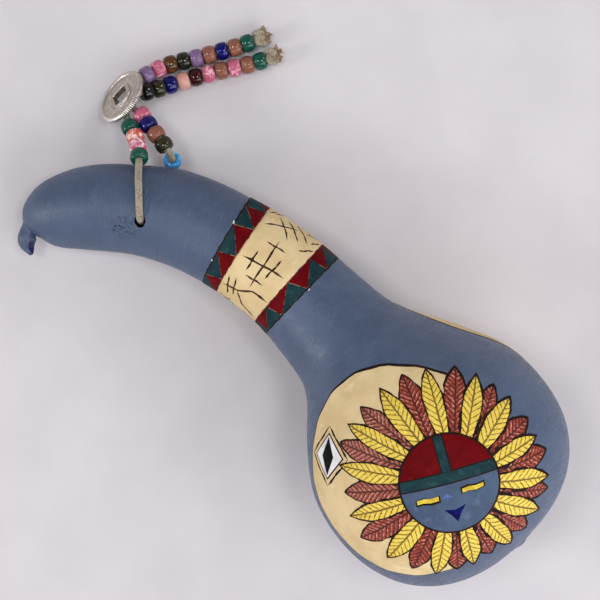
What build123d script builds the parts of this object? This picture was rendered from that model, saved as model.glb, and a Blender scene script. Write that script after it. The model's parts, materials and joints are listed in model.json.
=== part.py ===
"""Painted bottle gourd with a bent neck, and a beaded lace threaded through the neck.

Millimetres, +Z up. The gourd lies on the table plane z = 0, +X runs from the stem to the bulb,
and the origin is on the table under the middle of the gourd.
"""
import os
from math import acos, cos, radians, sin, sqrt, tan

from build123d import *

os.makedirs("parts", exist_ok=True)

# Gourd
bulb_radius = 61.5  # widest radius of the bulb
bulb_end_depth = 56.6  # from the bulb's centre to the blossom end
bulb_end_squareness = 2.32  # 2 is a plain ellipse, more is a flatter end
bulb_turns = (-19.0, -13.0)  # heading of the bulb's axis towards the neck and at the blossom end
bulb_x = 89.7  # the bulb's centre in the frame
bulb_y = 0.2
stem_reach = 229.4  # along X from the bulb's centre to the stem seat
neck_radius = 22.5  # at the lace's first hole
wall = 4.6  # thickness of the dried shell
rest_spot_radius = 13.5  # flat spot that the bulb grew lying on
neck_rub = 0.3  # depth of the rubbed flat under the neck's end
scar_angle = 86.0  # where the round end stops and the blossom scar starts

# Stem
stem_base_radius = 4.7  # at the seat; the hook's shape keeps in proportion to it

# Seeds
seed_length = 11.0
seed_width = 5.6
seed_thickness = 2.4
floor_level = 5.0  # flat place inside, over the rest spot

# Lace
lace_diameter = 3.2
hole_diameter = 5.6
lace_turn = 33.2  # angle from the gourd's length to the lace's own axes
lace_rise = 2.9  # lace axis above the neck's top where it crosses over
hole_a_offset = 6.8  # first hole, beside the neck's top line
hole_b_drop = 35.0  # second hole, in degrees below the neck's side
exit_bend = 4.0  # largest bend radius where the lace leaves a hole

# Beads
bead_diameter = 8.8
bead_length = 6.2
bead_bore = 4.2
bead_end_diameter = 5.4
bead_gap = 0.6
table_gap = 0.3

# Disc
disc_diameter = 29.0
disc_thickness = 2.6
disc_hole_diameter = 10.0
disc_collar_width = 1.7
disc_rim_width = 2.0
disc_relief = 0.45
disc_tilt = 52.0
disc_lean = 147.7  # heading that the face looks to, in the lace's axes
disc_twist = -23.0  # from the disc's level line to the laces behind it
disc_offset = (-9.5, 35.2, 15.7)  # disc's centre in the lace's axes
loop_wire = 1.2
loop_half_width = 7.2
loop_bend = 1.6
lace_gap = 0.4  # lace to disc and lace to loop
lace_a_across = -0.3  # where the two laces pass behind the disc
lace_b_across = 3.9
lace_pass = 7.0  # straight run of each lace behind the disc

# End knots
knot_diameter = 8.4
knot_length = 11.5

lace_radius = lace_diameter / 2
bead_radius = bead_diameter / 2
bead_pitch = bead_length + bead_gap
strand_level = bead_radius + table_gap


def save(part, name):
    """Label a finished piece and write its file."""
    part.label = name
    export_step(part, f"parts/{name}.step")


# Gourd's centre line: along and bow as shares of stem_reach, and the radius as a share of neck_radius
TIP_ROWS = (
    (-1.0, -0.0793, 0.2356),
    (-0.9948, -0.065, 0.4533),
)
END_ROWS = (
    (-0.9847, -0.048, 0.6267),
    (-0.969, -0.0279, 0.7644),
    (-0.9516, -0.0065, 0.84),
)
TOUCH_ROW = (-0.8997, 0.0371, 0.9511)
HOLE_A_ROW = (-0.8147, 0.0846, 1.0)
HOLE_B_ROW = (-0.7751, 0.1029, 1.0356)
BAND_ROWS = (
    (-0.7058, 0.1229, 1.0578),
    (-0.619, 0.1343, 1.0667),
    (-0.5179, 0.1364, 1.0933),
    (-0.4185, 0.1238, 1.1289),
    (-0.333, 0.1042, 1.2089),
    (-0.2733, 0.0907, 1.3289),
)
NECK_ROWS = (*TIP_ROWS, *END_ROWS, TOUCH_ROW, HOLE_A_ROW, HOLE_B_ROW, *BAND_ROWS)
FLARE_ROW = (-0.2058, 0.0711, 0.6537)  # its radius is a share of bulb_radius
BULB_ANGLES = (-34, -24, -12, 0, 11, 24, 38, 52, 64, 74, 81, scar_angle)

bulb_level = sqrt(bulb_radius**2 - rest_spot_radius**2)
touch_level = TOUCH_ROW[2] * neck_radius * 0.982 - neck_rub
tilt = (bulb_level - touch_level) / (-TOUCH_ROW[0] * stem_reach)


def gourd_point(along, bow):
    """Point of the centre line: it falls from the bulb to where the neck's end touches the table."""
    x = along * stem_reach
    return Vector(bulb_x + x, bulb_y + bow * stem_reach, bulb_level + tilt * x)


def gourd_rings(inset):
    """Centres, radii and directions of the gourd's cross-sections, moved inwards by inset.

    The neck's come from its rows. The bulb's are circles on a ball with a flattened blossom end.
    """
    rows = [(gourd_point(a, b), r * neck_radius - inset) for a, b, r in NECK_ROWS]
    rows.append((gourd_point(*FLARE_ROW[:2]), FLARE_ROW[2] * bulb_radius - inset))
    middle = gourd_point(0, 0)
    first = BULB_ANGLES[0]
    rings = []
    for angle in BULB_ANGLES:
        share = (angle - first) / (scar_angle - first)
        turn = radians(bulb_turns[0] + (bulb_turns[1] - bulb_turns[0]) * share)
        axis = Vector(cos(turn), sin(turn), tilt).normalized()
        power = 1 if angle < 0 else 2 / bulb_end_squareness
        depth = inset - bulb_radius if angle < 0 else bulb_end_depth - inset
        far = depth * abs(sin(radians(angle))) ** power
        rings.append((middle + axis * far, (bulb_radius - inset) * cos(radians(angle)) ** power, axis))
    centres = [row[0] for row in rows] + [rings[0][0]]
    neck = []
    for i, (centre, radius) in enumerate(rows):
        neck.append((centre, radius, (centres[i + 1] - centres[max(i - 1, 0)]).normalized()))
    return neck + rings


def ring_plane(centre, direction):
    """Plane of a cross-section, with its seam on the underside."""
    down = Vector(0, 0, -1)
    return Plane(origin=centre, x_dir=down - direction * down.dot(direction), z_dir=direction)


outer_rings = gourd_rings(0)
inner_rings = gourd_rings(wall)[len(TIP_ROWS):]  # the tip under the stem stays solid
neck_a, radius_a, _ = outer_rings[NECK_ROWS.index(HOLE_A_ROW)]
neck_b, radius_b, _ = outer_rings[NECK_ROWS.index(HOLE_B_ROW)]

# Lace's axes: along the neck there, and out over the side of the neck
lace_along = Vector(cos(radians(lace_turn)), sin(radians(lace_turn)), 0)
lace_out = Vector(-sin(radians(lace_turn)), cos(radians(lace_turn)), 0)
lace_base = Vector(neck_a.X, neck_a.Y, 0) + lace_out * radius_a
neck_b_out = (lace_along * 0.237 + lace_out * 0.971).normalized()


def lace_point(along, out, level, rise=0.0):
    """Point in the lace's axes, from the side of the neck: bead pitches along, out and above a level."""
    shift = lace_along * along + lace_out * out + Vector(0, 0, rise)
    return lace_base + shift * bead_pitch + Vector(0, 0, level)


def over_neck(along, out, up):
    """Point near the first hole, from the neck's axis there; along is a share of the neck's radius."""
    return neck_a + lace_along * along * radius_a + lace_out * out + Vector(0, 0, up)


def beside_neck(out, up):
    """Point near the second hole, measured from the neck's axis there."""
    return neck_b + neck_b_out * out + Vector(0, 0, up)


# Disc's plane: its x runs along the laces behind it
lean = radians(disc_lean)
disc_face = Vector(cos(lean) * sin(radians(disc_tilt)), sin(lean) * sin(radians(disc_tilt)), cos(radians(disc_tilt)))
disc_face = lace_along * disc_face.X + lace_out * disc_face.Y + Vector(0, 0, disc_face.Z)
disc_level_line = (lace_along * sin(lean) - lace_out * cos(lean)).rotate(Axis((0, 0, 0), disc_face), -disc_twist)
disc_origin = lace_base + lace_along * disc_offset[0] + lace_out * disc_offset[1] + Vector(0, 0, disc_offset[2])
disc_plane = Plane(origin=disc_origin, x_dir=disc_level_line, z_dir=disc_face)
disc_back = -disc_thickness / 2
lace_depth = disc_back - lace_gap - lace_radius
loop_depth = lace_depth - lace_radius - lace_gap - loop_wire / 2

# Routes of the two halves of the lace, from inside the neck to the end knots
drop = radians(hole_b_drop)
top_a = radius_a + lace_rise + lace_radius - 0.6
in_a = over_neck(0.129, -hole_a_offset, 0.578 * radius_a)
in_b = beside_neck(0.9485 * radius_b * cos(drop), -0.9485 * radius_b * sin(drop))
out_b = beside_neck(1.146 * radius_b * cos(drop), -1.146 * radius_b * sin(drop))
slider_out = radius_b + bead_radius - 0.5
pass_half = lace_pass / 2
ROUTE_A = (
    in_a,
    over_neck(0.129, -hole_a_offset - 0.3, top_a - 1.0),
    over_neck(0.116, 0.244 * radius_a, top_a - 0.1),
    over_neck(0.08, 0.778 * radius_a, 0.898 * radius_a),
    lace_point(0.176, 0.471, neck_a.Z, 1.441),
    lace_point(0.015, 1.279, neck_a.Z, 0.809),
    lace_point(-0.235, 2.088, neck_a.Z, 0.221),
    lace_point(-0.735, 2.853, neck_a.Z, -0.265),
    disc_plane.from_local_coords((-pass_half, -lace_a_across, lace_depth)),
    disc_plane.from_local_coords((pass_half, -lace_a_across, lace_depth)),
    lace_point(-0.324, 6.5, strand_level, 0.868),
    lace_point(0.368, 6.956, strand_level, 0.618),
    lace_point(1.147, 7.426, strand_level, 0.368),
    lace_point(2.044, 7.809, strand_level, 0.162),
    lace_point(2.985, 8.074, strand_level, 0.044),
    lace_point(3.868, 8.265, strand_level),
    lace_point(5.809, 8.794, strand_level),
    lace_point(7.441, 9.265, strand_level),
    lace_point(8.412, 9.647, strand_level),
)
ROUTE_B = (
    in_b,
    out_b,
    out_b + (neck_b_out * 0.596 + Vector(0, 0, 0.324)) * bead_pitch,
    beside_neck(slider_out + 0.022 * bead_pitch, -0.97 * bead_pitch),
    beside_neck(slider_out + 0.22 * bead_pitch, 0.206 * bead_pitch),
    lace_point(1.868, 1.456, neck_b.Z, 0.147),
    lace_point(1.294, 2.235, neck_b.Z, -0.044),
    lace_point(0.691, 2.956, neck_b.Z, -0.368),
    lace_point(0.162, 3.809, neck_b.Z, -0.882),
    disc_plane.from_local_coords((-pass_half, -lace_b_across, lace_depth)),
    disc_plane.from_local_coords((pass_half, -lace_b_across, lace_depth)),
    lace_point(0.368, 5.618, strand_level, 1.015),
    lace_point(1.162, 5.912, strand_level, 0.559),
    lace_point(2.103, 6.265, strand_level, 0.235),
    lace_point(3.074, 6.588, strand_level, 0.044),
    lace_point(4.015, 6.882, strand_level),
    lace_point(5.809, 7.353, strand_level),
    lace_point(7.794, 7.779, strand_level),
    lace_point(8.559, 7.985, strand_level),
    lace_point(9.265, 8.235, strand_level),
)
deep_a = in_a - (ROUTE_A[1] - in_a).normalized() * 0.444 * radius_a
deep_b = beside_neck(0.3 * radius_b * cos(drop), -0.3 * radius_b * sin(drop))
BRIDGE = (in_a, deep_a, deep_b, in_b)

# Beads by group: name, route, the corner that the first one sits on, and how many
BEAD_GROUPS = (
    ("leg_a", "a", 4, 4),
    ("strand_a", "a", 11, 9),
    ("slider", "b", 3, 1),
    ("leg_b", "b", 5, 4),
    ("strand_b", "b", 11, 10),
)


def turns_and_radii(points):
    """Turn at each inner corner of a route, and the arc that takes 0.45 of the shorter run there.

    The first corner is where the lace leaves a hole, so its bend stays tight.
    """
    turns = []
    arcs = []
    for before, corner, after in zip(points, points[1:], points[2:]):
        arriving = corner - before
        leaving = after - corner
        turn = acos(arriving.normalized().dot(leaving.normalized()))
        turns.append(turn)
        arc = 0.45 * min(arriving.length, leaving.length) / tan(turn / 2)
        arcs.append(arc if arcs else min(arc, exit_bend))
    return turns, arcs


def length_to(points, corner):
    """Length along a rounded route from its start to the middle of the arc at a corner."""
    turns, arcs = turns_and_radii(points)
    total = sum((b - a).length for a, b in zip(points[:corner], points[1 : corner + 1]))
    for i in range(corner):
        saved = 2 * arcs[i] * tan(turns[i] / 2) - arcs[i] * turns[i]
        total -= saved if i < corner - 1 else saved / 2
    return total


# Hollow of the gourd, with a flat floor over the rest spot
with BuildPart() as hollow:
    for centre, radius, direction in inner_rings:
        with BuildSketch(ring_plane(centre, direction)):
            Circle(radius)
    loft()
    split(bisect_by=Plane.XY.offset(floor_level), keep=Keep.TOP)

# Gourd shell: outer skin less the hollow, flat rest places, lace holes
with BuildPart() as gourd_shell:
    for centre, radius, direction in outer_rings:
        with BuildSketch(ring_plane(centre, direction)):
            Circle(radius)
    loft()
    add(hollow.part, mode=Mode.SUBTRACT)
    with BuildSketch(Plane(origin=in_a, z_dir=(0, 0, 1))):
        Circle(hole_diameter / 2)
    extrude(amount=2 * neck_radius, mode=Mode.SUBTRACT)
    with BuildSketch(Plane(origin=deep_b, z_dir=out_b - deep_b)):
        Circle(hole_diameter / 2)
    extrude(amount=2 * neck_radius, mode=Mode.SUBTRACT)
    split(bisect_by=Plane.XY, keep=Keep.TOP)
save(gourd_shell.part, "gourd_shell")

# Stem: a stout stalk that hooks round from the neck's end to a blunt point. Its rows are in shares of
# the base radius, along and out in the lace's axes and the radius, and then the heading in degrees
seat, seat_radius, seat_direction = outer_rings[0]
STEM_ROWS = (
    (-0.075, -0.521, 0.957, 231.5),
    (-0.245, -1.149, 0.99, 258.5),
    (-0.255, -1.745, 0.872, 276.0),
    (-0.096, -2.213, 0.66, 290.0),
    (0.128, -2.617, 0.404, 297.0),
    (0.245, -2.936, 0.213, 297.0),
)
with BuildPart() as stem:
    with BuildSketch(ring_plane(seat, -seat_direction)):
        Circle(stem_base_radius)
    for along, out, share, turn in STEM_ROWS:
        middle = seat + (lace_along * along + lace_out * out) * stem_base_radius
        heading = lace_along * cos(radians(turn)) + lace_out * sin(radians(turn))
        with BuildSketch(ring_plane(middle, heading)):
            Circle(share * stem_base_radius)
    loft()
save(stem.part, "stem")

# Dry seeds, lying loose on the flat place inside
SEED_PLACES = ((-6.5, 3.5, 20), (6.0, 5.5, -35), (-4.0, -6.0, -10), (7.0, -5.0, 60))
for number, (east, north, turn) in enumerate(SEED_PLACES, start=1):
    seed_plane = Plane.XY.offset(floor_level).rotated((0, 0, turn))
    seed_plane.origin = (bulb_x + east, bulb_y + north, floor_level)
    with BuildPart() as seed:
        with BuildSketch(seed_plane):
            Ellipse(seed_length / 2, seed_width / 2)
        extrude(amount=seed_thickness, taper=18)
    save(seed.part, f"dry_seed_{number}")

# Lace: three tubes that meet face to face inside the neck
routes = {"a": ROUTE_A, "b": ROUTE_B, "bridge": BRIDGE}
paths = {}
for key, points in routes.items():
    turns, arcs = turns_and_radii(points)
    with BuildLine() as route:
        FilletPolyline(*points, radius=arcs)
    paths[key] = route.wires()[0]
    with BuildPart() as lace:
        with BuildSketch(Plane(origin=points[0], z_dir=points[1] - points[0])):
            Circle(lace_radius)
        sweep(path=paths[key])
    save(lace.part, f"lace_{key}")
    share = lace.part.volume / (paths[key].length * 3.14159265 * lace_radius**2)
    print(f"lace_{key}: length {paths[key].length:.1f}, volume share {share:.4f}")
    print("  radii", [round(r, 1) for r in arcs], "turns", [round(t * 57.2958) for t in turns])

# Beads: barrels with a bore, threaded one after another
for group, key, corner, count in BEAD_GROUPS:
    start = length_to(routes[key], corner)
    for number in range(count):
        place = start + number * bead_pitch
        centre = paths[key].position_at(place, position_mode=PositionMode.LENGTH)
        heading = paths[key].tangent_at(place, position_mode=PositionMode.LENGTH)
        bead_plane = Plane(origin=centre, z_dir=heading)
        half = bead_length / 2
        with BuildPart() as bead:
            with BuildSketch(Plane(origin=centre, x_dir=bead_plane.x_dir, z_dir=-bead_plane.y_dir)):
                with BuildLine():
                    Line((bead_bore / 2, half), (bead_bore / 2, -half))
                    Line((bead_bore / 2, -half), (bead_end_diameter / 2, -half))
                    ThreePointArc((bead_end_diameter / 2, -half), (bead_radius, 0), (bead_end_diameter / 2, half))
                    Line((bead_end_diameter / 2, half), (bead_bore / 2, half))
                make_face()
            revolve(axis=Axis(centre, heading))
        name = "bead_slider" if count == 1 else f"bead_{group}_{number + 1}"
        save(bead.part, name)
        print(name, [round(v, 4) for v in centre], [round(v, 5) for v in heading])

# End knots
for key in ("a", "b"):
    end = paths[key].position_at(1)
    heading = paths[key].tangent_at(1)
    knot_plane = Plane(origin=end, z_dir=heading)
    fat = knot_diameter / 2
    with BuildPart() as knot:
        with BuildSketch(Plane(origin=end, x_dir=knot_plane.x_dir, z_dir=-knot_plane.y_dir)):
            with BuildLine():
                Line((0, 0), (lace_radius, 0))
                Spline(
                    (lace_radius, 0),
                    (fat, knot_length * 0.3),
                    (fat * 0.62, knot_length * 0.62),
                    (fat * 0.8, knot_length),
                )
                Line((fat * 0.8, knot_length), (0, knot_length))
                Line((0, knot_length), (0, 0))
            make_face()
        revolve(axis=Axis(end, heading))
    save(knot.part, f"knot_{key}")

# Disc with a raised collar and rim, and the loop on its back
outer = disc_diameter / 2
hole = disc_hole_diameter / 2
half = disc_thickness / 2
field = half - disc_relief
collar = hole + disc_collar_width
with BuildPart() as disc:
    with BuildSketch(Plane(origin=disc_plane.origin, x_dir=disc_plane.x_dir, z_dir=-disc_plane.y_dir)):
        with BuildLine():
            Polyline(
                (hole, -half),
                (outer - 0.7, -half),
                (outer, -half + 0.6),
                (outer, half - 0.4),
                (outer - 0.4, half),
                (outer - disc_rim_width + 0.4, half),
                (outer - disc_rim_width, field),
                (collar + 0.4, field),
                (collar, half + disc_relief),
                (hole + 0.5, half + disc_relief),
                (hole, half),
                close=True,
            )
        make_face()
    revolve(axis=Axis(disc_plane.origin, disc_plane.z_dir))
save(disc.part, "disc")

with BuildPart() as disc_loop:
    with BuildLine(Plane(origin=disc_plane.origin, x_dir=disc_plane.y_dir, z_dir=disc_plane.x_dir)):
        FilletPolyline(
            (-loop_half_width, disc_back),
            (-loop_half_width, loop_depth),
            (loop_half_width, loop_depth),
            (loop_half_width, disc_back),
            radius=loop_bend,
        )
    leg_foot = disc_plane.from_local_coords((0, -loop_half_width, disc_back))
    with BuildSketch(Plane(origin=leg_foot, z_dir=-disc_plane.z_dir)):
        Circle(loop_wire / 2)
    sweep()
save(disc_loop.part, "disc_loop")

print("disc", [round(v, 4) for v in disc_plane.origin], "normal", [round(v, 5) for v in disc_plane.z_dir])
print("slide", [round(v, 5) for v in disc_plane.x_dir])
body = Compound(children=[gourd_shell.part, stem.part]).bounding_box()
print("gourd box", [round(v, 2) for v in body.min], [round(v, 2) for v in body.max], "tilt", round(tilt, 4))
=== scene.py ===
"""Looks of the painted and carved gourd with its beaded lace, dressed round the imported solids.

The frame is the solids' own, in metres. Sizes that read more easily in millimetres are written so
and multiplied by MM where a surface is made.
"""
import json

import bpy
import numpy as np
from mathutils import Matrix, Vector
from numpy import cos, pi, sin


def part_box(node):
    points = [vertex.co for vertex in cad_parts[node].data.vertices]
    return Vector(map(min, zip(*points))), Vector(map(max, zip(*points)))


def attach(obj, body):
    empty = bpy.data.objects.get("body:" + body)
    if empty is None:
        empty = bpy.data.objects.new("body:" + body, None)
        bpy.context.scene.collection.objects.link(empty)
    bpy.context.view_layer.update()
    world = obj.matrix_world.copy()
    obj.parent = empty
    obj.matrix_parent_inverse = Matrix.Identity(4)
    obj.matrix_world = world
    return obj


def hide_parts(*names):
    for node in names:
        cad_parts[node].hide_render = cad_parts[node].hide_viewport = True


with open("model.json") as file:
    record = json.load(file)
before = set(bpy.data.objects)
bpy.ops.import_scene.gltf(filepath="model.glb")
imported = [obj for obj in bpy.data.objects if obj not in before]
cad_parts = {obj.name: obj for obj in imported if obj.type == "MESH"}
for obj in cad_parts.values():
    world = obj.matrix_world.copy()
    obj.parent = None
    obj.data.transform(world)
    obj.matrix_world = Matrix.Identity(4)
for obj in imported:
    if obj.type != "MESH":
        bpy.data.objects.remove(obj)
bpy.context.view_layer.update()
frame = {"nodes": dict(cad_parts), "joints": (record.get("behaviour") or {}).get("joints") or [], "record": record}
slot_of = {part["node"]: part["material_slot"] for part in frame["record"]["subparts"]}
MM = 0.001
UPRIGHT = np.array((0, 0, 1.0))


# Surfaces
def unit(vectors):
    """Vectors divided by their lengths."""
    return vectors / np.linalg.norm(vectors, axis=-1, keepdims=True)


def turns(count):
    """Equal turns round a ring, from 0 to less than a whole turn."""
    return np.linspace(0, 2 * pi, count, endpoint=False)


def spokes(side, top, turn):
    """Spokes of a ring: side at turn 0, top at a quarter turn."""
    return side * cos(turn)[..., None] + top * sin(turn)[..., None]


def lengths_along(points):
    """Distance along a line of points, at each of them."""
    return np.concatenate([[0], np.cumsum(np.linalg.norm(np.diff(points, axis=0), axis=1))])


def signed_power(value, power):
    """A power of the value's size, with its sign kept."""
    return np.sign(value) * np.abs(value) ** power


def ripple(points, length, seed, waves=9):
    """Smooth unevenness from -1 to 1: plane waves of about one length, in drawn directions, added up."""
    draw = np.random.default_rng(seed)
    steps = unit(draw.normal(size=(waves, 3))) * draw.uniform(0.6, 1.6, (waves, 1))
    return sin(points @ steps.T * (2 * pi / length) + draw.uniform(0, 2 * pi, waves)).sum(-1) / waves


def eased(value, low, high):
    """0 below low, 1 above high, and a smooth step between."""
    t = np.clip((value - low) / (high - low), 0, 1)
    return t * t * (3 - 2 * t)


def closed_form(grid, ring=False, inside=False):
    """Points, quads and triangles of a closed surface given as rows x columns x 3.

    The columns close round. With ring set the rows do too; otherwise each end row is drawn to a pole.
    Faces look outwards, or inwards for the wall of a hollow.
    """
    rows, columns = grid.shape[:2]
    index = np.arange(rows * columns).reshape(rows, columns)
    points = grid.reshape(-1, 3)
    if ring:
        index = np.vstack([index, index[:1]])
    across = np.roll(index, -1, axis=1)
    quads = np.stack([index[:-1], across[:-1], across[1:], index[1:]], -1).reshape(-1, 4)
    triangles = np.empty((0, 3), int)
    if not ring:
        points = np.vstack([points, grid[0].mean(0), grid[-1].mean(0)])
        first = np.stack([across[0], index[0], np.full(columns, rows * columns)], -1)
        last = np.stack([index[-1], across[-1], np.full(columns, rows * columns + 1)], -1)
        triangles = np.vstack([first, last])
    at = points - points.mean(0)
    fans = np.vstack([quads[:, [0, 1, 2]], quads[:, [0, 2, 3]], triangles])
    volume = (np.cross(at[fans[:, 0]], at[fans[:, 1]]) * at[fans[:, 2]]).sum()
    if (volume < 0) != inside:
        quads, triangles = quads[:, ::-1], triangles[:, ::-1]
    return points, quads, triangles


def joined(forms):
    """Several closed surfaces as one: points stacked, faces renumbered."""
    starts = np.cumsum([0] + [len(points) for points, _, _ in forms])
    return (
        np.vstack([points for points, _, _ in forms]),
        np.vstack([quads + start for (_, quads, _), start in zip(forms, starts)]),
        np.vstack([triangles + start for (_, _, triangles), start in zip(forms, starts)]),
    )


def mesh_of(name, form, finish):
    """Mesh of a closed surface with one finish."""
    points, quads, triangles = form
    mesh = bpy.data.meshes.new(name)
    mesh.from_pydata(points.tolist(), [], quads.tolist() + triangles.tolist())
    mesh.materials.append(finish)
    return mesh


def mesh_points(mesh):
    """Points of a mesh, one row each."""
    flat = np.zeros(len(mesh.vertices) * 3)
    mesh.vertices.foreach_get("co", flat)
    return flat.reshape(-1, 3)


def set_plan(mesh, plan):
    """Keep a vector at each point, for patterns that follow the piece's own length and width."""
    layer = mesh.attributes.new("plan", "FLOAT_VECTOR", "POINT")
    layer.data.foreach_set("vector", plan.astype(np.float32).ravel())


def with_poles(plan):
    """Plan values of a grid, with the mean of each end row added for the poles."""
    return np.vstack([plan.reshape(-1, 3), plan[0].mean(0), plan[-1].mean(0)])


def add_object(name, data):
    """A new object in the scene."""
    item = bpy.data.objects.new(name, data)
    bpy.context.scene.collection.objects.link(item)
    return item


def finished_mesh(item):
    """Mesh of an object as its modifiers or its spline leave it."""
    return bpy.data.meshes.new_from_object(item.evaluated_get(bpy.context.evaluated_depsgraph_get()))


def make_piece(name, form, finish, body="gourd", replaces=(), plan=None):
    """A mesh piece from a closed surface, with its finish, body and the solids it stands for."""
    mesh = mesh_of(name, form, finish)
    mesh.polygons.foreach_set("use_smooth", np.ones(len(mesh.polygons), bool))
    if plan is not None:
        set_plan(mesh, plan)
    mesh.update()
    piece = add_object(name, mesh)
    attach(piece, body)
    if replaces:
        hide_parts(*replaces)
    return piece


# Gourd's form, mm: the same cross-sections as the solid
BULB_RADIUS = 61.5
# Depth of the flattened end from the bulb's middle, and the power of its curve
BULB_DEPTH = 56.6
BULB_SQUARENESS = 2.32
# Headings of the bulb's axis at its neck side and at its end, degrees
BULB_TURNS = (-19.0, -13.0)
# Radius of the flat spot on which the bulb rests
REST_RADIUS = 13.5
# Thickness of the wall, and level of the hollow's floor
WALL = 4.6
FLOOR_LEVEL = 5.0
BULB_PLACE = (89.7, 0.2)
# Rings of the neck: place along and beside the bulb's middle, and radius
NECK_ROWS = np.array((
    (-229.4, -18.2, 5.3), (-228.2, -14.9, 10.2), (-225.9, -11.0, 14.1), (-222.3, -6.4, 17.2),
    (-218.3, -1.5, 18.9), (-206.4, 8.5, 21.4), (-186.9, 19.4, 22.5), (-177.8, 23.6, 23.3),
    (-161.9, 28.2, 23.8), (-142.0, 30.8, 24.0), (-118.8, 31.3, 24.6), (-96.0, 28.4, 25.4),
    (-76.4, 23.9, 27.2), (-62.7, 20.8, 29.9), (-47.2, 16.3, 40.2),
))
# Rings of the bulb: degrees from the widest one
BULB_ANGLES = np.array((-34, -24, -12, 0, 11, 24, 38, 52, 64, 74, 81, 86.0))
# Numbers of rings: where the hollow and the bulb's map start, the widest one, and the one that touches
# the table
FIRST_HOLLOW_ROW = 2
FIRST_BULB_ROW = 12
WIDE_BULB_ROW = 18
TOUCH_ROW = 5
# Share of the touching ring's radius that stands upright, and how far the neck is rubbed flat there
TOUCH_SHARE = 0.982
NECK_RUB = 0.3

bulb_level = np.sqrt(BULB_RADIUS**2 - REST_RADIUS**2)
bulb_centre = np.array((*BULB_PLACE, bulb_level))
touch_along, _, touch_radius = NECK_ROWS[TOUCH_ROW]
tilt = (bulb_level - touch_radius * TOUCH_SHARE + NECK_RUB) / -touch_along


def gourd_rings(inset):
    """Centres, radii and directions of the cross-sections, moved inwards by inset.

    The neck's come from its rows, and the bulb's are circles on a ball with a flattened end.
    """
    neck = bulb_centre + np.stack([NECK_ROWS[:, 0], NECK_ROWS[:, 1], tilt * NECK_ROWS[:, 0]], 1)
    share = (BULB_ANGLES - BULB_ANGLES[0]) / (BULB_ANGLES[-1] - BULB_ANGLES[0])
    turn = np.radians(BULB_TURNS[0] + (BULB_TURNS[1] - BULB_TURNS[0]) * share)
    axes = unit(np.stack([cos(turn), sin(turn), np.full_like(turn, tilt)], 1))
    angle = np.radians(BULB_ANGLES)
    power = np.where(BULB_ANGLES < 0, 1, 2 / BULB_SQUARENESS)
    depth = np.where(BULB_ANGLES < 0, inset - BULB_RADIUS, BULB_DEPTH - inset)
    bulb = bulb_centre + axes * (depth * np.abs(sin(angle)) ** power)[:, None]
    radii = np.concatenate([NECK_ROWS[:, 2] - inset, (BULB_RADIUS - inset) * cos(angle) ** power])
    line = np.vstack([neck, bulb[:1]])
    slopes = unit(np.vstack([line[1:2] - line[:1], line[2:] - line[:-2]]))
    return np.vstack([neck, bulb]), radii, np.vstack([slopes, axes])


def smooth_through(knots, values):
    """A natural cubic spline through rows of values at the knots, as a function of the place."""
    gaps = np.diff(knots)
    slopes = np.diff(values, axis=0) / gaps[:, None]
    bends = np.zeros_like(values)
    system = np.diag(2 * (gaps[:-1] + gaps[1:])) + np.diag(gaps[1:-1], 1) + np.diag(gaps[1:-1], -1)
    bends[1:-1] = np.linalg.solve(system, 6 * np.diff(slopes, axis=0))

    def at(place):
        i = np.clip(np.searchsorted(knots, place) - 1, 0, len(gaps) - 1)
        gap = gaps[i][..., None]
        b = np.asarray(place - knots[i])[..., None] / gap
        a = 1 - b
        bend = ((a**3 - a) * bends[i] + (b**3 - b) * bends[i + 1]) * gap**2 / 6
        return a * values[i] + b * values[i + 1] + bend

    return at


def ring_curves(inset, first=0):
    """Knots along the gourd, and splines for centre, upward radius, sideways radius and direction."""
    centres, radii, directions = (rows[first:] for rows in gourd_rings(inset))
    upward = unit(UPRIGHT - directions * directions[:, 2:])
    sideways = np.cross(directions, upward)
    steps = np.hypot(np.linalg.norm(np.diff(centres, axis=0), axis=1), np.diff(radii))
    knots = np.concatenate([[0], np.cumsum(steps)])
    rows = np.hstack([centres, upward * radii[:, None], sideways * radii[:, None], directions])
    return knots, smooth_through(knots, rows)


skin_knots, skin_rows = ring_curves(0)


def skin_point(along, around, height=0.0):
    """Point of the gourd's skin: the ring at along, turned by around from its top, raised by height."""
    row = skin_rows(along)
    spoke = spokes(row[..., 3:6], row[..., 6:9], around)
    return row[..., :3] + spoke + unit(spoke) * np.asarray(height)[..., None]


# The sun's own map of the bulb: x to the picture's right, y up, both measured over the skin
PICTURE_TURN = np.radians(33.2)
picture_right = np.array((cos(PICTURE_TURN), sin(PICTURE_TURN), 0))
picture_up = np.array((-sin(PICTURE_TURN), cos(PICTURE_TURN), 0))
sun_out = unit(np.array((0.0489, -0.0762, 0.9959)))
sun_right = unit(picture_right - sun_out * (picture_right @ sun_out))
sun_up = np.cross(sun_out, sun_right)
bulb_places = np.linspace(skin_knots[FIRST_BULB_ROW], skin_knots[-1], 500)
bulb_rows = skin_rows(bulb_places)
bulb_tilts = np.arctan2(
    np.linalg.norm(bulb_rows[:, 3:6], axis=1),
    ((bulb_rows[:, :3] - bulb_centre) * unit(bulb_rows[:, 9:])).sum(1),
)


def ray_of(x, y, aim, right, up):
    """Direction from the bulb's centre: distance from the map's middle is an angle, and the heading stays."""
    far, heading = np.hypot(x, y), np.arctan2(y, x)
    angle = (far / BULB_RADIUS)[..., None]
    return cos(angle) * aim + sin(angle) * spokes(right, up, heading)


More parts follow.
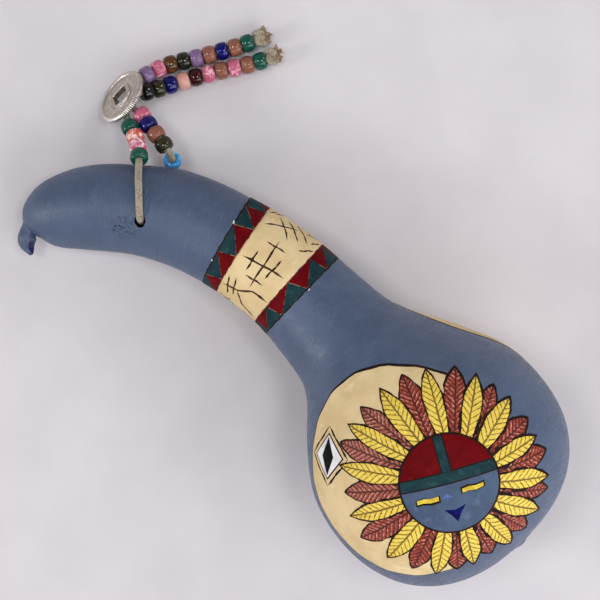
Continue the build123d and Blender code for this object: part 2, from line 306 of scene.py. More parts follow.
def over_bulb(ray, height):
    """Point of the bulb's skin in a direction, raised by height.

    A few rounds find the ring whose rim lies there.
    """
    place = np.full(ray.shape[:-1], skin_knots[WIDE_BULB_ROW])
    for _ in range(4):
        axis = unit(skin_rows(place)[..., 9:])
        place = np.interp(-np.arccos((ray * axis).sum(-1)), -bulb_tilts, bulb_places)
    row = skin_rows(place)
    around = np.arctan2((ray * unit(row[..., 6:9])).sum(-1), (ray * unit(row[..., 3:6])).sum(-1))
    return (skin_point(place, around) + ray * np.asarray(height)[..., None]) * MM


def on_bulb(x, y, height):
    """Point over the bulb's skin, from the sun's map."""
    return over_bulb(ray_of(x, y, sun_out, sun_right, sun_up), height)


BAND_LEAN = 4.5
BAND_RADIUS = 24.4


def on_neck(x, y, height):
    """Point over the neck's skin: x along it, y round it from the top, raised by height.

    The band's edges lean, so that they are upright although the neck slopes.
    """
    around = np.asarray(y) / BAND_RADIUS
    return skin_point(x + BAND_LEAN * cos(around), around, height) * MM


# Raised patches
def plaque(corners, top, place, rows=7, step=1.2, edge=0.3, sink=0.25):
    """Flat-topped patch inside straight edges, laid on a skin by place.

    Each row is the outline, with a point at every step, drawn in towards its middle; near the rim the
    top falls away, and the underside comes back below the skin.
    """
    corners = np.array(corners, float)
    outline = np.vstack([
        np.linspace(start, end, max(2, int(np.hypot(*(end - start)) / step)), endpoint=False)
        for start, end in zip(corners, np.roll(corners, -1, 0))])
    middle = outline.mean(0)
    size = np.linalg.norm(outline - middle, axis=1).mean()
    shares = np.concatenate([np.linspace(0.06, 1 - edge / size, rows), [1 - 0.35 * edge / size, 1]])
    heights = np.concatenate([np.full(rows, top), [top - 0.09 * (top + sink), 0.0]])
    shares = np.concatenate([shares, shares[::-1]])
    heights = np.concatenate([heights, np.full(rows + 2, -sink)])
    spot = middle + shares[:, None, None] * (outline - middle)
    return closed_form(place(spot[..., 0], spot[..., 1], np.broadcast_to(heights[:, None], spot.shape[:2])))


def arc(radius, start, end, count, middle=(0.0, 0.0)):
    """Points of an arc, in degrees."""
    angles = np.radians(np.linspace(start, end, count))
    return np.stack([middle[0] + radius * cos(angles), middle[1] + radius * sin(angles)], 1)


def circle(radius, count, middle=(0.0, 0.0)):
    """Points of a whole circle."""
    return arc(radius, 0, 360, count + 1, middle)[:-1]


def stroke(points, width, top, place, rows=24, columns=10):
    """Thin cut line along a bent path: a flat lens carried from point to point, pointed at both ends.

    Its width and its course waver a little, as those of a line cut by hand do.
    """
    points = np.array(points, float)
    lengths = lengths_along(points)
    t = np.linspace(0, 1, rows)
    line = np.stack([np.interp(t * lengths[-1], lengths, points[:, k]) for k in (0, 1)], 1)
    heading = unit(np.gradient(line, axis=0))
    side = np.stack([-heading[:, 1], heading[:, 0]], 1)
    half = width / 2 * np.clip(sin(pi * np.clip(t, 0.02, 0.98)) * 2.2, 0, 1)
    half = half * (1 + 0.22 * sin(t * 19 + points.sum()) + 0.12 * sin(t * 43 + points[0, 0]))
    line = line + side * (0.14 * sin(t * 11 + points[0, 1]) * min(width, 1.0))[:, None]
    turn = turns(columns)
    spot = line[:, None] + side[:, None] * (half[:, None] * cos(turn))[..., None]
    height = np.where(sin(turn) > 0, top * np.sqrt(np.abs(sin(turn))), -0.15)
    return closed_form(place(spot[..., 0], spot[..., 1], np.broadcast_to(height, spot.shape[:2])))


# Finishes
def tone(red, green, blue):
    """Linear colour of a display colour given in 0 to 255."""
    shown = np.array((red, green, blue)) / 255
    return (*np.where(shown <= 0.04045, shown / 12.92, ((shown + 0.055) / 1.055) ** 2.4), 1.0)


class NodeWork:
    """Steps of a node tree: each gives an output that the next one takes."""

    def __init__(self, tree):
        self.nodes = tree.nodes
        self.links = tree.links

    def join(self, value, socket):
        """Link an output to a socket, or set the socket to a plain value."""
        if isinstance(value, bpy.types.NodeSocket):
            self.links.new(value, socket)
        else:
            socket.default_value = value

    def math(self, operation, *values):
        """One step of arithmetic."""
        node = self.nodes.new("ShaderNodeMath")
        node.operation = operation
        for value, socket in zip(values, node.inputs):
            self.join(value, socket)
        return node.outputs[0]

    def plus(self, first, second):
        """Sum of two values."""
        return self.math("ADD", first, second)

    def minus(self, first, second):
        """First value less the second."""
        return self.math("SUBTRACT", first, second)

    def times(self, first, second):
        """Product of two values."""
        return self.math("MULTIPLY", first, second)

    def vector(self, operation, value, other):
        """One step of vector arithmetic with a plain vector; gives the outputs Vector and Value."""
        node = self.nodes.new("ShaderNodeVectorMath")
        node.operation = operation
        self.links.new(value, node.inputs[0])
        node.inputs[1].default_value = other
        return node.outputs

    def ease(self, value, low, high, first=0.0, last=1.0):
        """Smooth step from first to last while value goes from low to high."""
        node = self.nodes.new("ShaderNodeMapRange")
        node.interpolation_type = "SMOOTHSTEP"
        for number, socket in zip((value, low, high, first, last), node.inputs):
            self.join(number, socket)
        return node.outputs[0]


class Finish(NodeWork):
    """A procedural material, built up node by node."""

    def __init__(self, name, **sockets):
        self.material = bpy.data.materials.new(name)
        self.material.use_nodes = True
        super().__init__(self.material.node_tree)
        self.shader = self.nodes["Principled BSDF"]
        self.place = self.nodes.new("ShaderNodeTexCoord").outputs["Object"]
        for socket, value in sockets.items():
            self.shader.inputs[socket.replace("_", " ")].default_value = value

    def plan(self):
        """The piece's own length, width and third value, one output each."""
        node = self.nodes.new("ShaderNodeAttribute")
        node.attribute_name = "plan"
        split = self.nodes.new("ShaderNodeSeparateXYZ")
        self.links.new(node.outputs["Vector"], split.inputs[0])
        return node.outputs["Vector"], split.outputs

    def noise(self, size, detail=3.0, stretch=(1, 1, 1), place=None, distortion=0.0, roughness=0.55):
        """Cloudy noise about 0.5 with features of the given size, drawn out by stretch."""
        scaled = self.vector("MULTIPLY", place or self.place, tuple(1 / (size * s) for s in stretch))
        node = self.nodes.new("ShaderNodeTexNoise")
        for socket, value in (
            ("Vector", scaled["Vector"]), ("Scale", 1.0), ("Detail", detail), ("Roughness", roughness),
            ("Distortion", distortion),
        ):
            self.join(value, node.inputs[socket])
        return node.outputs["Fac"]

    def mix(self, share, first, second):
        """Second colour over the first by share."""
        node = self.nodes.new("ShaderNodeMix")
        node.data_type = "RGBA"
        for value, number in ((share, 0), (first, 6), (second, 7)):
            self.join(value, node.inputs[number])
        return node.outputs[2]

    def done(self, colour, height=None, depth=0.0002, strength=0.5, roughness=None):
        """Set the colour, an uneven height as bump and a roughness, if given; returns the material."""
        self.join(colour, self.shader.inputs["Base Color"])
        if roughness is not None:
            self.join(roughness, self.shader.inputs["Roughness"])
        if height is not None:
            bump = self.nodes.new("ShaderNodeBump")
            bump.inputs["Strength"].default_value = strength
            bump.inputs["Distance"].default_value = depth
            self.links.new(height, bump.inputs["Height"])
            self.links.new(bump.outputs[0], self.shader.inputs["Normal"])
        return self.material


# Where the painted shade on the neck fades out, in mm along the gourd
NECK_SHADE_ENDS = (120.0, 150.0)
# Distances from the middle of the chipped place at which chips begin and are thickest, in m
CHIPPED_REACH = (0.0095, 0.003)


def brushed_paint(name, main, light, dark, chips):
    """Hand-brushed satin paint: broad patches, brush streaks, painted shade darkening the neck, and dark chips."""
    f = Finish(name, Specular_IOR_Level=0.45)
    vector, (along, _, _) = f.plan()
    broad = f.noise(0.014, detail=4)
    streaks = f.noise(1.1, detail=3, stretch=(1, 6, 1), place=vector, distortion=0.7)
    drag = f.noise(2.2, detail=4, stretch=(1, 3, 1), place=vector, distortion=1.4)
    fine = f.noise(0.0011, detail=3)
    colour = f.mix(f.ease(broad, 0.35, 0.65, first=0.5, last=1.0), dark, main)
    # Painted shade: up to the band the neck is mixed 0.4 of the way to the dark tone, fading out across the band
    colour = f.mix(f.ease(along, *NECK_SHADE_ENDS, first=0.4, last=0.0), colour, dark)
    colour = f.mix(f.ease(drag, 0.5, 0.68, first=0, last=0.1), colour, light)
    colour = f.mix(f.ease(streaks, 0.56, 0.7, first=0, last=0.22), colour, light)
    colour = f.mix(f.ease(streaks, 0.46, 0.3, first=0, last=0.3), colour, dark)
    specks = f.ease(f.noise(0.0011, detail=2, stretch=(1.7, 1, 1)), 0.555, 0.6)
    near = f.ease(f.vector("DISTANCE", f.place, chips)["Value"], *CHIPPED_REACH)
    few = f.times(f.ease(f.noise(0.0013, detail=1), 0.73, 0.77), f.ease(f.noise(0.02, detail=1), 0.55, 0.65))
    chipped = f.math("MAXIMUM", f.times(specks, near), f.times(few, 0.7))
    colour = f.mix(chipped, colour, tone(14, 18, 46))
    height = f.plus(f.times(drag, 0.8), f.plus(f.times(streaks, 0.9), fine))
    dull = f.ease(drag, 0.3, 0.7, first=0.34, last=0.52)
    return f.done(colour, height, depth=0.0004, strength=0.55, roughness=dull)


def patch_paint(name, main, light, dark, size, roughness):
    """Paint inside a carved outline: cloudy tones of one colour and a slightly uneven surface."""
    f = Finish(name, Specular_IOR_Level=0.04)
    cloud = f.noise(size, detail=4)
    grain = f.noise(0.0009, detail=3)
    colour = f.mix(f.ease(cloud, 0.35, 0.65), tone(*dark), tone(*main))
    wisps = f.ease(f.noise(size * 0.6, detail=3, distortion=0.8), 0.56, 0.72, first=0, last=0.6)
    colour = f.mix(wisps, colour, tone(*light))
    height = f.plus(cloud, f.times(grain, 0.4))
    dull = f.ease(grain, 0.3, 0.7, first=roughness - 0.08, last=roughness + 0.1)
    return f.done(colour, height, depth=0.0002, strength=0.45, roughness=dull)


# The feathers over which the paint grows pale, by number
FADED_FEATHERS = (18, 24)


def feather_paint(name, main, light, dark, line, spacing, pale, cut):
    """Feather: a midrib and slanting barbs scratched through the paint, more or less deep.

    spacing is from barb to barb, pale the share of bare scratches between them and cut the barbs' half width.
    plan holds the distance along the feather, the distance across it, both in mm, and the feather's number.
    """
    f = Finish(name, Specular_IOR_Level=0.2)
    vector, (along, across, number) = f.plan()
    wobble = f.noise(2.4, detail=2, place=vector)
    off = f.math("ABSOLUTE", f.plus(across, f.times(f.minus(wobble, 0.5), 0.9)))
    phase = f.minus(along, f.times(off, 0.95))
    phase = f.plus(phase, f.times(f.noise(1.5, detail=2, place=vector), 1.5))
    phase = f.plus(phase, f.times(f.math("SIGN", across), spacing * 0.2))
    depth = f.noise(1.2, detail=2, place=vector)
    broad = f.ease(depth, 0.35, 0.65, first=cut * 0.54, last=cut)
    barbs = f.ease(f.math("PINGPONG", phase, spacing / 2), broad, 0.12)
    barbs = f.times(barbs, f.ease(depth, 0.3, 0.46, first=0.25, last=1.0))
    rib = f.ease(off, 0.55, 0.25)
    lines = f.math("MAXIMUM", barbs, rib)
    cloud = f.noise(1.7, detail=4, place=vector)
    colour = f.mix(f.ease(cloud, 0.34, 0.66), dark, main)
    wisps = f.ease(f.noise(0.9, detail=3, place=vector, distortion=1.0), 0.55, 0.72, first=0, last=0.75)
    colour = f.mix(wisps, colour, light)
    scratch = f.ease(f.math("PINGPONG", f.plus(phase, spacing * 0.34), spacing / 2), 0.36, 0.1)
    scratch = f.times(f.times(scratch, pale), f.ease(cloud, 0.44, 0.58))
    faded = f.times(f.ease(number, *FADED_FEATHERS), pale * 0.5)
    colour = f.mix(faded, colour, tone(176, 116, 100))
    colour = f.mix(scratch, colour, tone(226, 182, 164))
    colour = f.mix(f.times(lines, 0.9), colour, line)
    height = f.minus(f.times(cloud, 0.3), lines)
    dull = f.ease(cloud, 0.3, 0.7, first=0.45, last=0.6)
    return f.done(colour, height, depth=0.0002, strength=0.7, roughness=dull)


def burnt_line(name, bare):
    """Dark carved and burnt line, rough inside, with places where another tone shows."""
    f = Finish(name, Specular_IOR_Level=0.15)
    grain = f.noise(0.0007, detail=4)
    colour = f.mix(f.ease(grain, 0.35, 0.7), tone(20, 8, 6), tone(58, 28, 18))
    colour = f.mix(f.ease(f.noise(0.003, detail=3), 0.46, 0.56), colour, bare)
    dull = f.ease(grain, 0.3, 0.7, first=0.6, last=0.85)
    return f.done(colour, grain, depth=0.0002, strength=0.6, roughness=dull)


def suede(name, main, light, dark, torn):
    """Napped suede: short fibres in light and dark, and a soft sheen.

    plan's third value is 1 where it is torn.
    """
    f = Finish(name, Sheen_Weight=0.3, Sheen_Roughness=0.6, Roughness=0.95, Specular_IOR_Level=0.1)
    _, (_, _, ends) = f.plan()
    fibres = f.noise(0.0007, detail=4, roughness=0.7)
    patch = f.noise(0.004, detail=3)
    colour = f.mix(f.ease(patch, 0.35, 0.65), dark, main)
    colour = f.mix(f.ease(fibres, 0.4, 0.62), colour, light)
    colour = f.mix(f.ease(fibres, 0.42, 0.3, first=0, last=0.4), colour, dark)
    in_shade, in_light = f.mix(0.5, torn, tone(60, 42, 22)), f.mix(0.3, torn, light)
    golden = f.mix(f.ease(f.noise(0.0011, detail=4), 0.36, 0.62), in_shade, in_light)
    return f.done(f.mix(ends, colour, golden), fibres, depth=0.0006, strength=0.9)


def bead_glass(name, main, swirl, share):
    """Glossy moulded bead: swirled tones under a clear smooth surface."""
    f = Finish(
        name, Roughness=0.3, Coat_Weight=0.62, Coat_IOR=1.6, Coat_Roughness=0.04, Specular_IOR_Level=0.03)
    cloud = f.noise(0.0042, detail=2, distortion=1.6)
    fine = f.noise(0.0007, detail=2)
    colour = f.mix(f.ease(cloud, 0.66 - share * 0.25, 0.84 - share * 0.2), main, swirl)
    colour = f.mix(f.ease(fine, 0.6, 0.8, first=0, last=0.2), colour, swirl)
    return f.done(colour, cloud, depth=0.0002, strength=0.25)


def worn_silver(name):
    """Worn silver metal: bright on the high places, dull in the low ones, with fine scratches.

    plan's first value is how bright the place is worn, with a painted highlight added along one side of the rim.
    """
    f = Finish(name, Metallic=1.0)
    _, (bright, _, _) = f.plan()
    cloud = f.noise(0.0035, detail=4)
    worn = f.noise(0.0015, detail=4, distortion=1.2)
    scratch = f.noise(0.0009, detail=4, stretch=(4, 0.6, 1))
    share = f.plus(bright, f.times(f.minus(worn, 0.5), 1.1))
    colour = f.mix(f.ease(share, 0.3, 1.0), tone(188, 178, 166), tone(240, 235, 228))
    colour = f.mix(f.ease(share, 0.25, -0.4), colour, tone(66, 58, 50))
    colour = f.mix(f.ease(scratch, 0.58, 0.74, first=0, last=0.35), colour, tone(136, 126, 114))
    relief = f.plus(cloud, f.times(worn, 0.8))
    dull = f.ease(cloud, 0.3, 0.7, first=0.3, last=0.46)
    return f.done(colour, relief, depth=0.0005, strength=0.5, roughness=dull)


# Paints of the patches: main, light and dark tone, size of the clouds in m, and roughness
PAINTS = {
    "face_blue": ((77, 93, 118), (94, 108, 133), (69, 83, 107), 0.009, 0.5),
    "cream_paint": ((222, 198, 153), (230, 210, 168), (208, 182, 136), 0.016, 0.5),
    "red_paint": ((102, 7, 14), (120, 18, 25), (88, 5, 11), 0.008, 0.5),
    "teal_paint": ((32, 60, 65), (50, 80, 82), (24, 48, 54), 0.006, 0.5),
    "yellow_paint": ((222, 200, 72), (236, 218, 110), (192, 164, 52), 0.003, 0.5),
    "black_paint": ((20, 19, 18), (38, 36, 34), (12, 11, 11), 0.004, 0.5),
    "white_paint": ((232, 230, 232), (242, 242, 244), (214, 210, 212), 0.006, 0.5),
    "navy_paint": ((16, 18, 92), (34, 36, 120), (10, 10, 62), 0.003, 0.5),
    "smear_paint": ((84, 122, 190), (104, 142, 206), (80, 104, 156), 0.002, 0.5),
    "raw_gourd": ((92, 66, 40), (120, 90, 58), (48, 32, 20), 0.002, 0.8),
    "dry_seed": ((206, 184, 140), (222, 204, 166), (170, 144, 100), 0.002, 0.75),
}
paint = {name: patch_paint(name, *row) for name, row in PAINTS.items()}
BLUE = (tone(74, 90, 117), tone(100, 115, 142), tone(58, 73, 99))
CHIPPED_PLACE = (-0.0963, 0.0072, 0.046)
blue_paint = brushed_paint("blue_paint", *BLUE, CHIPPED_PLACE)
line_paint = burnt_line("burnt_line", tone(20, 9, 8))
scratched_line = burnt_line("scratched_line", tone(164, 134, 106))
mark_paint = burnt_line("scratched_mark", tone(70, 46, 36))
feather_finish = {
    "rust": feather_paint(
        "rust_feather", tone(162, 66, 46), tone(190, 102, 74), tone(134, 48, 36), tone(62, 20, 14),
        spacing=2.5, pale=0.8, cut=0.86),
    "yellow": feather_paint(
        "yellow_feather", tone(234, 206, 90), tone(246, 226, 132), tone(218, 186, 68), tone(96, 68, 24),
        spacing=3.0, pale=0.0, cut=0.66),
}
suede_tan = suede(
    "suede_tan", tone(152, 139, 120), tone(180, 167, 148), tone(112, 99, 80), torn=tone(146, 110, 60))
silver = worn_silver("worn_silver")


# Gourd: outer skin and the wall of its hollow in one shell, with the two lace holes cut through
SKIN_ROWS = 280
SKIN_COLUMNS = 296
HOLLOW_ROWS = 72
HOLLOW_COLUMNS = 60
# Unevenness of the skin: height, length and seed of each set of waves, mm
SKIN_WAVES = ((0.22, 34.0, 3), (0.07, 11.0, 4))
# The old flower's scar on the bulb's end: shares of the last ring's radius, and heights over it, mm
SCAR = np.array(((0.86, 0.28), (0.7, 0.2), (0.5, 0.5), (0.3, 0.95), (0.12, 1.1)))
# Lace holes, mm: where a cut starts, where it heads, and from where to where it reaches
HOLES = (
    (np.array((-91.05, 15.5, 37.4)), UPRIGHT, (-1.0, 16.0)),
    (np.array((-90.0, 29.2, 22.1)), unit(np.array((-5.38, 15.21, -11.3))), (2.0, 30.0)),
)
HOLE_RADIUS = 2.8


def gourd_wall(curves, rows, columns, lowest):
    """Grid of the gourd's surface: rings carried along its centre line, uneven, and flat where it rests."""
    knots, at = curves
    along, around = np.meshgrid(
        np.linspace(0, knots[-1], rows), np.linspace(pi, -pi, columns, endpoint=False), indexing="ij")
    row = at(along)
    spoke = spokes(row[..., 3:6], row[..., 6:9], around)
    point = row[..., :3] + spoke
    waves = sum(height * ripple(point, length, seed) for height, length, seed in SKIN_WAVES)
    point += unit(spoke) * waves[..., None]
    point[..., 2] = np.maximum(point[..., 2], lowest)
    return point


def skin_plan(points, batch=3000):
    """Distance along the gourd and round it at points of its skin, in batches of points.

    They are those of the nearest ring, by the distances from the ring's plane and from its rim.
    """
    places = np.linspace(0, skin_knots[-1], SKIN_ROWS)
    row = skin_rows(places)
    size = np.linalg.norm(row[:, 3:6], axis=1)
    plans = []
    for start in range(0, len(points), batch):
        out = points[start:start + batch, None] - row[:, :3]
        off_plane = (out * unit(row[:, 9:])).sum(-1)
        off_rim = np.linalg.norm(out, axis=-1) - size
        near = np.argmin(off_plane**2 + off_rim**2, axis=1)
        spoke = out[np.arange(len(out)), near]
        around = np.arctan2((spoke * row[near, 6:9]).sum(-1), (spoke * row[near, 3:6]).sum(-1))
        plans.append(np.stack([places[near], around * size[near], np.zeros(len(near))], -1))
    return np.vstack(plans)


outer = gourd_wall((skin_knots, skin_rows), SKIN_ROWS, SKIN_COLUMNS, 0.0)
end_row = skin_rows(skin_knots[-1:])
end_middle, end_axis = end_row[:, :3], unit(end_row[:, 9:])
scar_rows = end_middle + (outer[-1] - end_middle) * SCAR[:, :1, None] + end_axis * SCAR[:, 1:, None]
outer = np.concatenate([outer, scar_rows])
inner = gourd_wall(ring_curves(WALL, FIRST_HOLLOW_ROW), HOLLOW_ROWS, HOLLOW_COLUMNS, FLOOR_LEVEL)
shell = joined([closed_form(outer * MM), closed_form(inner * MM, inside=True)])
gourd_skin = make_piece("gourd_skin", shell, blue_paint, replaces=["gourd_shell"])

for number, (start, heading, reach) in enumerate(HOLES):
    side = unit(np.cross(heading, (0.3, 1.0, 0.2)))
    turn = turns(28)
    rim = spokes(side, np.cross(heading, side), turn) * HOLE_RADIUS
    rim *= (1 + 0.06 * sin(3 * turn + number) + 0.04 * sin(7 * turn))[:, None]
    tube = start + rim + heading * np.array(reach)[:, None, None]
    cutter = add_object("lace_hole", mesh_of("lace_hole", closed_form(tube * MM), paint["raw_gourd"]))
    cut = gourd_skin.modifiers.new("lace_hole", "BOOLEAN")
    cut.object = cutter
    cut.operation = "DIFFERENCE"
    cut.solver = "EXACT"
    cut.material_mode = "TRANSFER"
    finished = finished_mesh(gourd_skin)
    gourd_skin.modifiers.clear()
    gourd_skin.data = finished
    bpy.data.objects.remove(cutter)
set_plan(gourd_skin.data, skin_plan(mesh_points(gourd_skin.data) / MM))

# Stem: a stout ribbed stalk that hooks round to a blunt point, shaved flat on one side and touched with navy
STEM_SEAT = np.array((-139.7, -17.99, 16.33))
STEM_RADIUS = 4.7
# Along the picture and up it in radii, share of the radius, and heading in degrees
STEM_ROWS = np.array((
    (0.0, 0.0, 1.0, 216.8), (-0.075, -0.521, 0.957, 231.5), (-0.245, -1.149, 0.99, 258.5),
    (-0.255, -1.745, 0.872, 276.0), (-0.096, -2.213, 0.66, 290.0), (0.128, -2.617, 0.404, 297.0),
    (0.245, -2.936, 0.213, 297.0),
))
# The shaved cut, mm: its level, where along the stalk it starts to slope, its slope, and where it ends
SHAVE_LEVEL = 1.9
SHAVE_START = -10.4
SHAVE_SLOPE = 0.42
SHAVE_END = -5.8
stem_share = np.linspace(0, len(STEM_ROWS) - 1, 54)
stem_row = smooth_through(np.arange(float(len(STEM_ROWS))), STEM_ROWS)(stem_share)
stem_turn = np.radians(stem_row[:, 3:])
stem_side = picture_up * cos(stem_turn) - picture_right * sin(stem_turn)
stem_middle = STEM_SEAT + (picture_right * stem_row[:, :1] + picture_up * stem_row[:, 1:2]) * STEM_RADIUS
turn = turns(64)
ribs = 1 + 0.03 * cos(5 * turn) + 0.015 * cos(11 * turn + 1)
spoke = spokes(stem_side[:, None], UPRIGHT, turn)
stem_grid = stem_middle[:, None] + spoke * (stem_row[:, 2:3] * ribs * STEM_RADIUS)[..., None]
stem_grid += spoke * (0.1 * ripple(stem_grid, length=3.0, seed=8))[..., None]
shave_out = picture_right * 0.743 + UPRIGHT * 0.669
away = (stem_grid - STEM_SEAT) @ picture_up
shave_level = SHAVE_LEVEL + SHAVE_SLOPE * np.maximum(away - SHAVE_START, 0)
shave = np.maximum((stem_grid - STEM_SEAT) @ shave_out - shave_level, 0) * (away < SHAVE_END)
stem_grid -= shave_out * shave[..., None]
stem_plan = np.stack([np.broadcast_to(stem_share[:, None], shave.shape), shave, shave * 0], -1)


def stem_finish():
    """Blue paint on the stalk, and navy on the cut that plan marks with its second value."""
    f = Finish("stem_paint", Roughness=0.5)
    _, (along, cut, _) = f.plan()
    streaks = f.noise(0.0012, detail=3)
    colour = f.mix(f.ease(streaks, 0.35, 0.7), BLUE[2], BLUE[0])
    end = f.math("MAXIMUM", f.ease(cut, 0.0, 0.06), f.ease(along, 5.2, 5.6))
    colour = f.mix(f.times(end, f.ease(f.noise(0.0016, detail=2), 0.28, 0.38)), colour, tone(12, 10, 70))
    return f.done(colour, streaks, depth=0.0002, strength=0.5)


make_piece(
    "stalk", closed_form(stem_grid * MM), stem_finish(), replaces=["stem"],
    plan=with_poles(stem_plan))

# Dry seeds on the hollow's floor: flat drops, thicker round the rim
# Half length, half width and half thickness, mm
SEED_HALF = (5.4, 2.6, 1.1)
for number in range(1, 5):
    node = f"dry_seed_{number}"
    spots = mesh_points(frame["nodes"][node].data)[:, :2]
    long = np.linalg.eigh(np.cov((spots - spots.mean(0)).T))[1][:, 1]
    along = np.linspace(-0.96, 0.96, 26)[:, None]
    turn = turns(28)[None]
    half = np.sqrt(1 - along**2) * (1 - 0.22 * along)
    rim = 1 - 0.35 * np.exp(-(cos(turn) ** 2) / 0.12)
    x, y = SEED_HALF[0] * along + 0 * turn, SEED_HALF[1] * half * cos(turn)
    z = SEED_HALF[2] * half**0.4 * sin(turn) * rim
    grid = np.mean(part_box(node), axis=0) + MM * (
        x[..., None] * np.array((*long, 0)) + y[..., None] * np.array((-long[1], long[0], 0))
        + z[..., None] * UPRIGHT)
    make_piece(f"seed_{number}", closed_form(grid), paint["dry_seed"], replaces=[node])

# Cream field with its burnt outline, and the nested diamonds on it
FIELD = np.array((-25.0, -0.3))
FIELD_RADIUS = 55.6
FIELD_POINTS = 72
field_angle = np.arange(FIELD_POINTS) * 360 / FIELD_POINTS
field_outline = circle(FIELD_RADIUS, FIELD_POINTS, FIELD)
field_out = unit(field_outline - FIELD)
field_outline += 0.35 * sin(np.arange(FIELD_POINTS) * 1.7)[:, None] * field_out
# The burnt line's width, mm: broadest at the top
field_line = 0.5 + 1.0 * np.exp(-(((field_angle - 88) / 42) ** 2)) + 0.14 * sin(field_angle * 0.31)
field_rim = field_outline + field_out * field_line[:, None]
make_piece("field_outline", plaque(field_rim, top=0.1, place=on_bulb, rows=40), line_paint)
field_form = plaque(field_outline, top=0.13, place=on_bulb, rows=44, edge=0.5)
make_piece("cream_field", field_form, paint["cream_paint"])
DIAMOND = np.array((-63.3, 6.4))
diamond = np.array(((0, 12.0), (-10.8, 0), (0, -12.0), (10.8, 0)))
for name, share, top, rows, finish in (
    ("diamond_outline", 1.1, 0.2, 10, line_paint), ("diamond_white", 1.0, 0.28, 10, paint["white_paint"]),
    ("diamond_dark", (0.44, 0.9), 0.35, 8, paint["black_paint"]),
):
    make_piece(name, plaque(DIAMOND + diamond * share, top, on_bulb, rows), finish)
outer_diamond = DIAMOND + np.vstack([diamond, diamond[:1]]) * 1.36
sides = [stroke(outer_diamond[i:i + 2], width=1.3, top=0.24, place=on_bulb) for i in range(4)]
make_piece("diamond_lines", joined(sides), line_paint)

# Another cream field on the bulb's far side: only its edge shows over the rim
BACK_HEADING = np.radians(74.0)
BACK_DIP = np.radians(24.0)
BACK_RADIUS = 38.0
back_level = picture_right * cos(BACK_HEADING) + picture_up * sin(BACK_HEADING)
back_aim = back_level * cos(BACK_DIP) - UPRIGHT * sin(BACK_DIP)
back_right = unit(np.cross(back_aim, UPRIGHT))
back_up = np.cross(back_right, back_aim)


def on_back(x, y, height):
    """Point over the bulb's skin, from a map like the sun's about the middle of the far side."""
    return over_bulb(ray_of(x, y, back_aim, back_right, back_up), height)


back_outline = circle(BACK_RADIUS, FIELD_POINTS)
make_piece("back_outline", plaque(back_outline * 1.02, top=0.12, place=on_back, rows=30), line_paint)
back_form = plaque(back_outline, top=0.24, place=on_back, rows=40, edge=0.5)
make_piece("back_field", back_form, paint["cream_paint"])

# Sun's feathers, in turn round the face, rust and yellow: heading of the base and of the tip in degrees,
# and reach of the tip
FEATHERS = (
    (115, 114, 54.0), (96.5, 101, 53.2), (83.5, 85, 53.4), (68.5, 73, 51.4), (55.5, 62, 49.4),
    (46, 50.5, 48.6), (34, 35, 47.4), (21, 23.5, 46.2), (9.5, 13.5, 49.7), (-2, -1.5, 50.3),
    (-14.5, -9, 52.0), (-25, -22, 51.8), (-35.5, -35, 51.4), (-47.5, -47.5, 50.8), (-59.5, -60, 46.0),
    (-71, -72.5, 48.0), (-81.5, -82.5, 48.0), (-93.5, -94.5, 51.2), (-109, -108.5, 49.8),
    (-124.5, -123.5, 50.8), (-140, -141, 54.4), (-151.5, -154.5, 52.8), (-169, -168.5, 50.8),
    (-184, -183.5, 52.9), (-195.5, -195.5, 55.4), (-209, -206, 55.0), (-221.5, -217.5, 53.9),
    (-232.5, -232, 53.5),
)
FACE = np.array((0.0, -1.1))
FACE_RADIUS = 22.3
FEATHER_START = 20.0
# Top height and half width in mm, the share of the length where it is fullest, and two powers
FEATHER_STYLES = {"rust": (0.34, 5.0, 0.66, 1.3, 0.74), "yellow": (0.54, 4.4, 0.52, 2.0, 1.0)}
BARB_SPACING = 3.0
BARB_SLANT = 0.95
# Shift of the plan from feather to feather, mm, so that no two have the same pattern
PLAN_STEP = 40.0
# Feathers with a heavier burnt outline, by number
HEAVY_LINES = range(2, 17)


def feather(base, tip, reach, style, number, grow=0.0):
    """A feather's grid and plan: a flat lens section carried from the face to the tip.

    Each side swells to its fullest at one share of the length and closes to the tip, after a style of top
    height, half width, fullest share and two powers. Barbs are slanting furrows on both sides of the midrib.
    grow widens it all round into its outline, which has no furrows.
    """
    top, half, full, swell, blunt = style
    t = np.linspace(0.0, 1.0, 64)[:, None]
    turn = turns(32)[None]
    start, end = (far * np.array((cos(np.radians(a)), sin(np.radians(a)))) for far, a in (
        (FEATHER_START, base), (reach + grow * 1.3, tip)))
    length = np.linalg.norm(end - start)
    ahead = (end - start) / length
    rise = 0.52 + 0.48 * sin(pi / 2 * np.clip(t / full, 0, 1))
    fall = (1 - np.clip((t - full) / (1 - full), 0, 0.999) ** swell) ** blunt
    uneven = 1 + 0.03 * sin(t * 9 + number) + 0.025 * sin(t * 21 + 2.1 * number)
    lopsided = np.where(cos(turn) > 0, 1.06 + 0.1 * sin(1.7 * number), 0.94 + 0.1 * cos(2.3 * number))
    reach_out = half * lopsided * rise * fall * uneven
    ragged = 1 + 0.35 * sin(t * 13 + 1.7 * number) + 0.25 * sin(t * 37 + number)
    reach_out = reach_out + grow * ragged * np.sqrt(np.maximum(1 - t, 0.004))
    across = reach_out * signed_power(cos(turn), 0.72)
    phase = (t * length - BARB_SLANT * np.abs(across)) % BARB_SPACING
    furrow = 0.05 * np.exp(-((phase - BARB_SPACING / 2) ** 2) / 0.09) + 0.08 * np.exp(-(across**2) / 0.12)
    height = np.where(sin(turn) >= 0, top * np.abs(sin(turn)) ** 0.22 - furrow * (grow == 0), -0.2)
    x = start[0] + t * length * ahead[0] - across * ahead[1]
    y = start[1] + t * length * ahead[1] + across * ahead[0]
    along = t * length + number * PLAN_STEP + 0 * turn
    plan = np.stack([along, across, np.full(across.shape, float(number))], -1)
    return closed_form(on_bulb(x, y, height)), with_poles(plan)


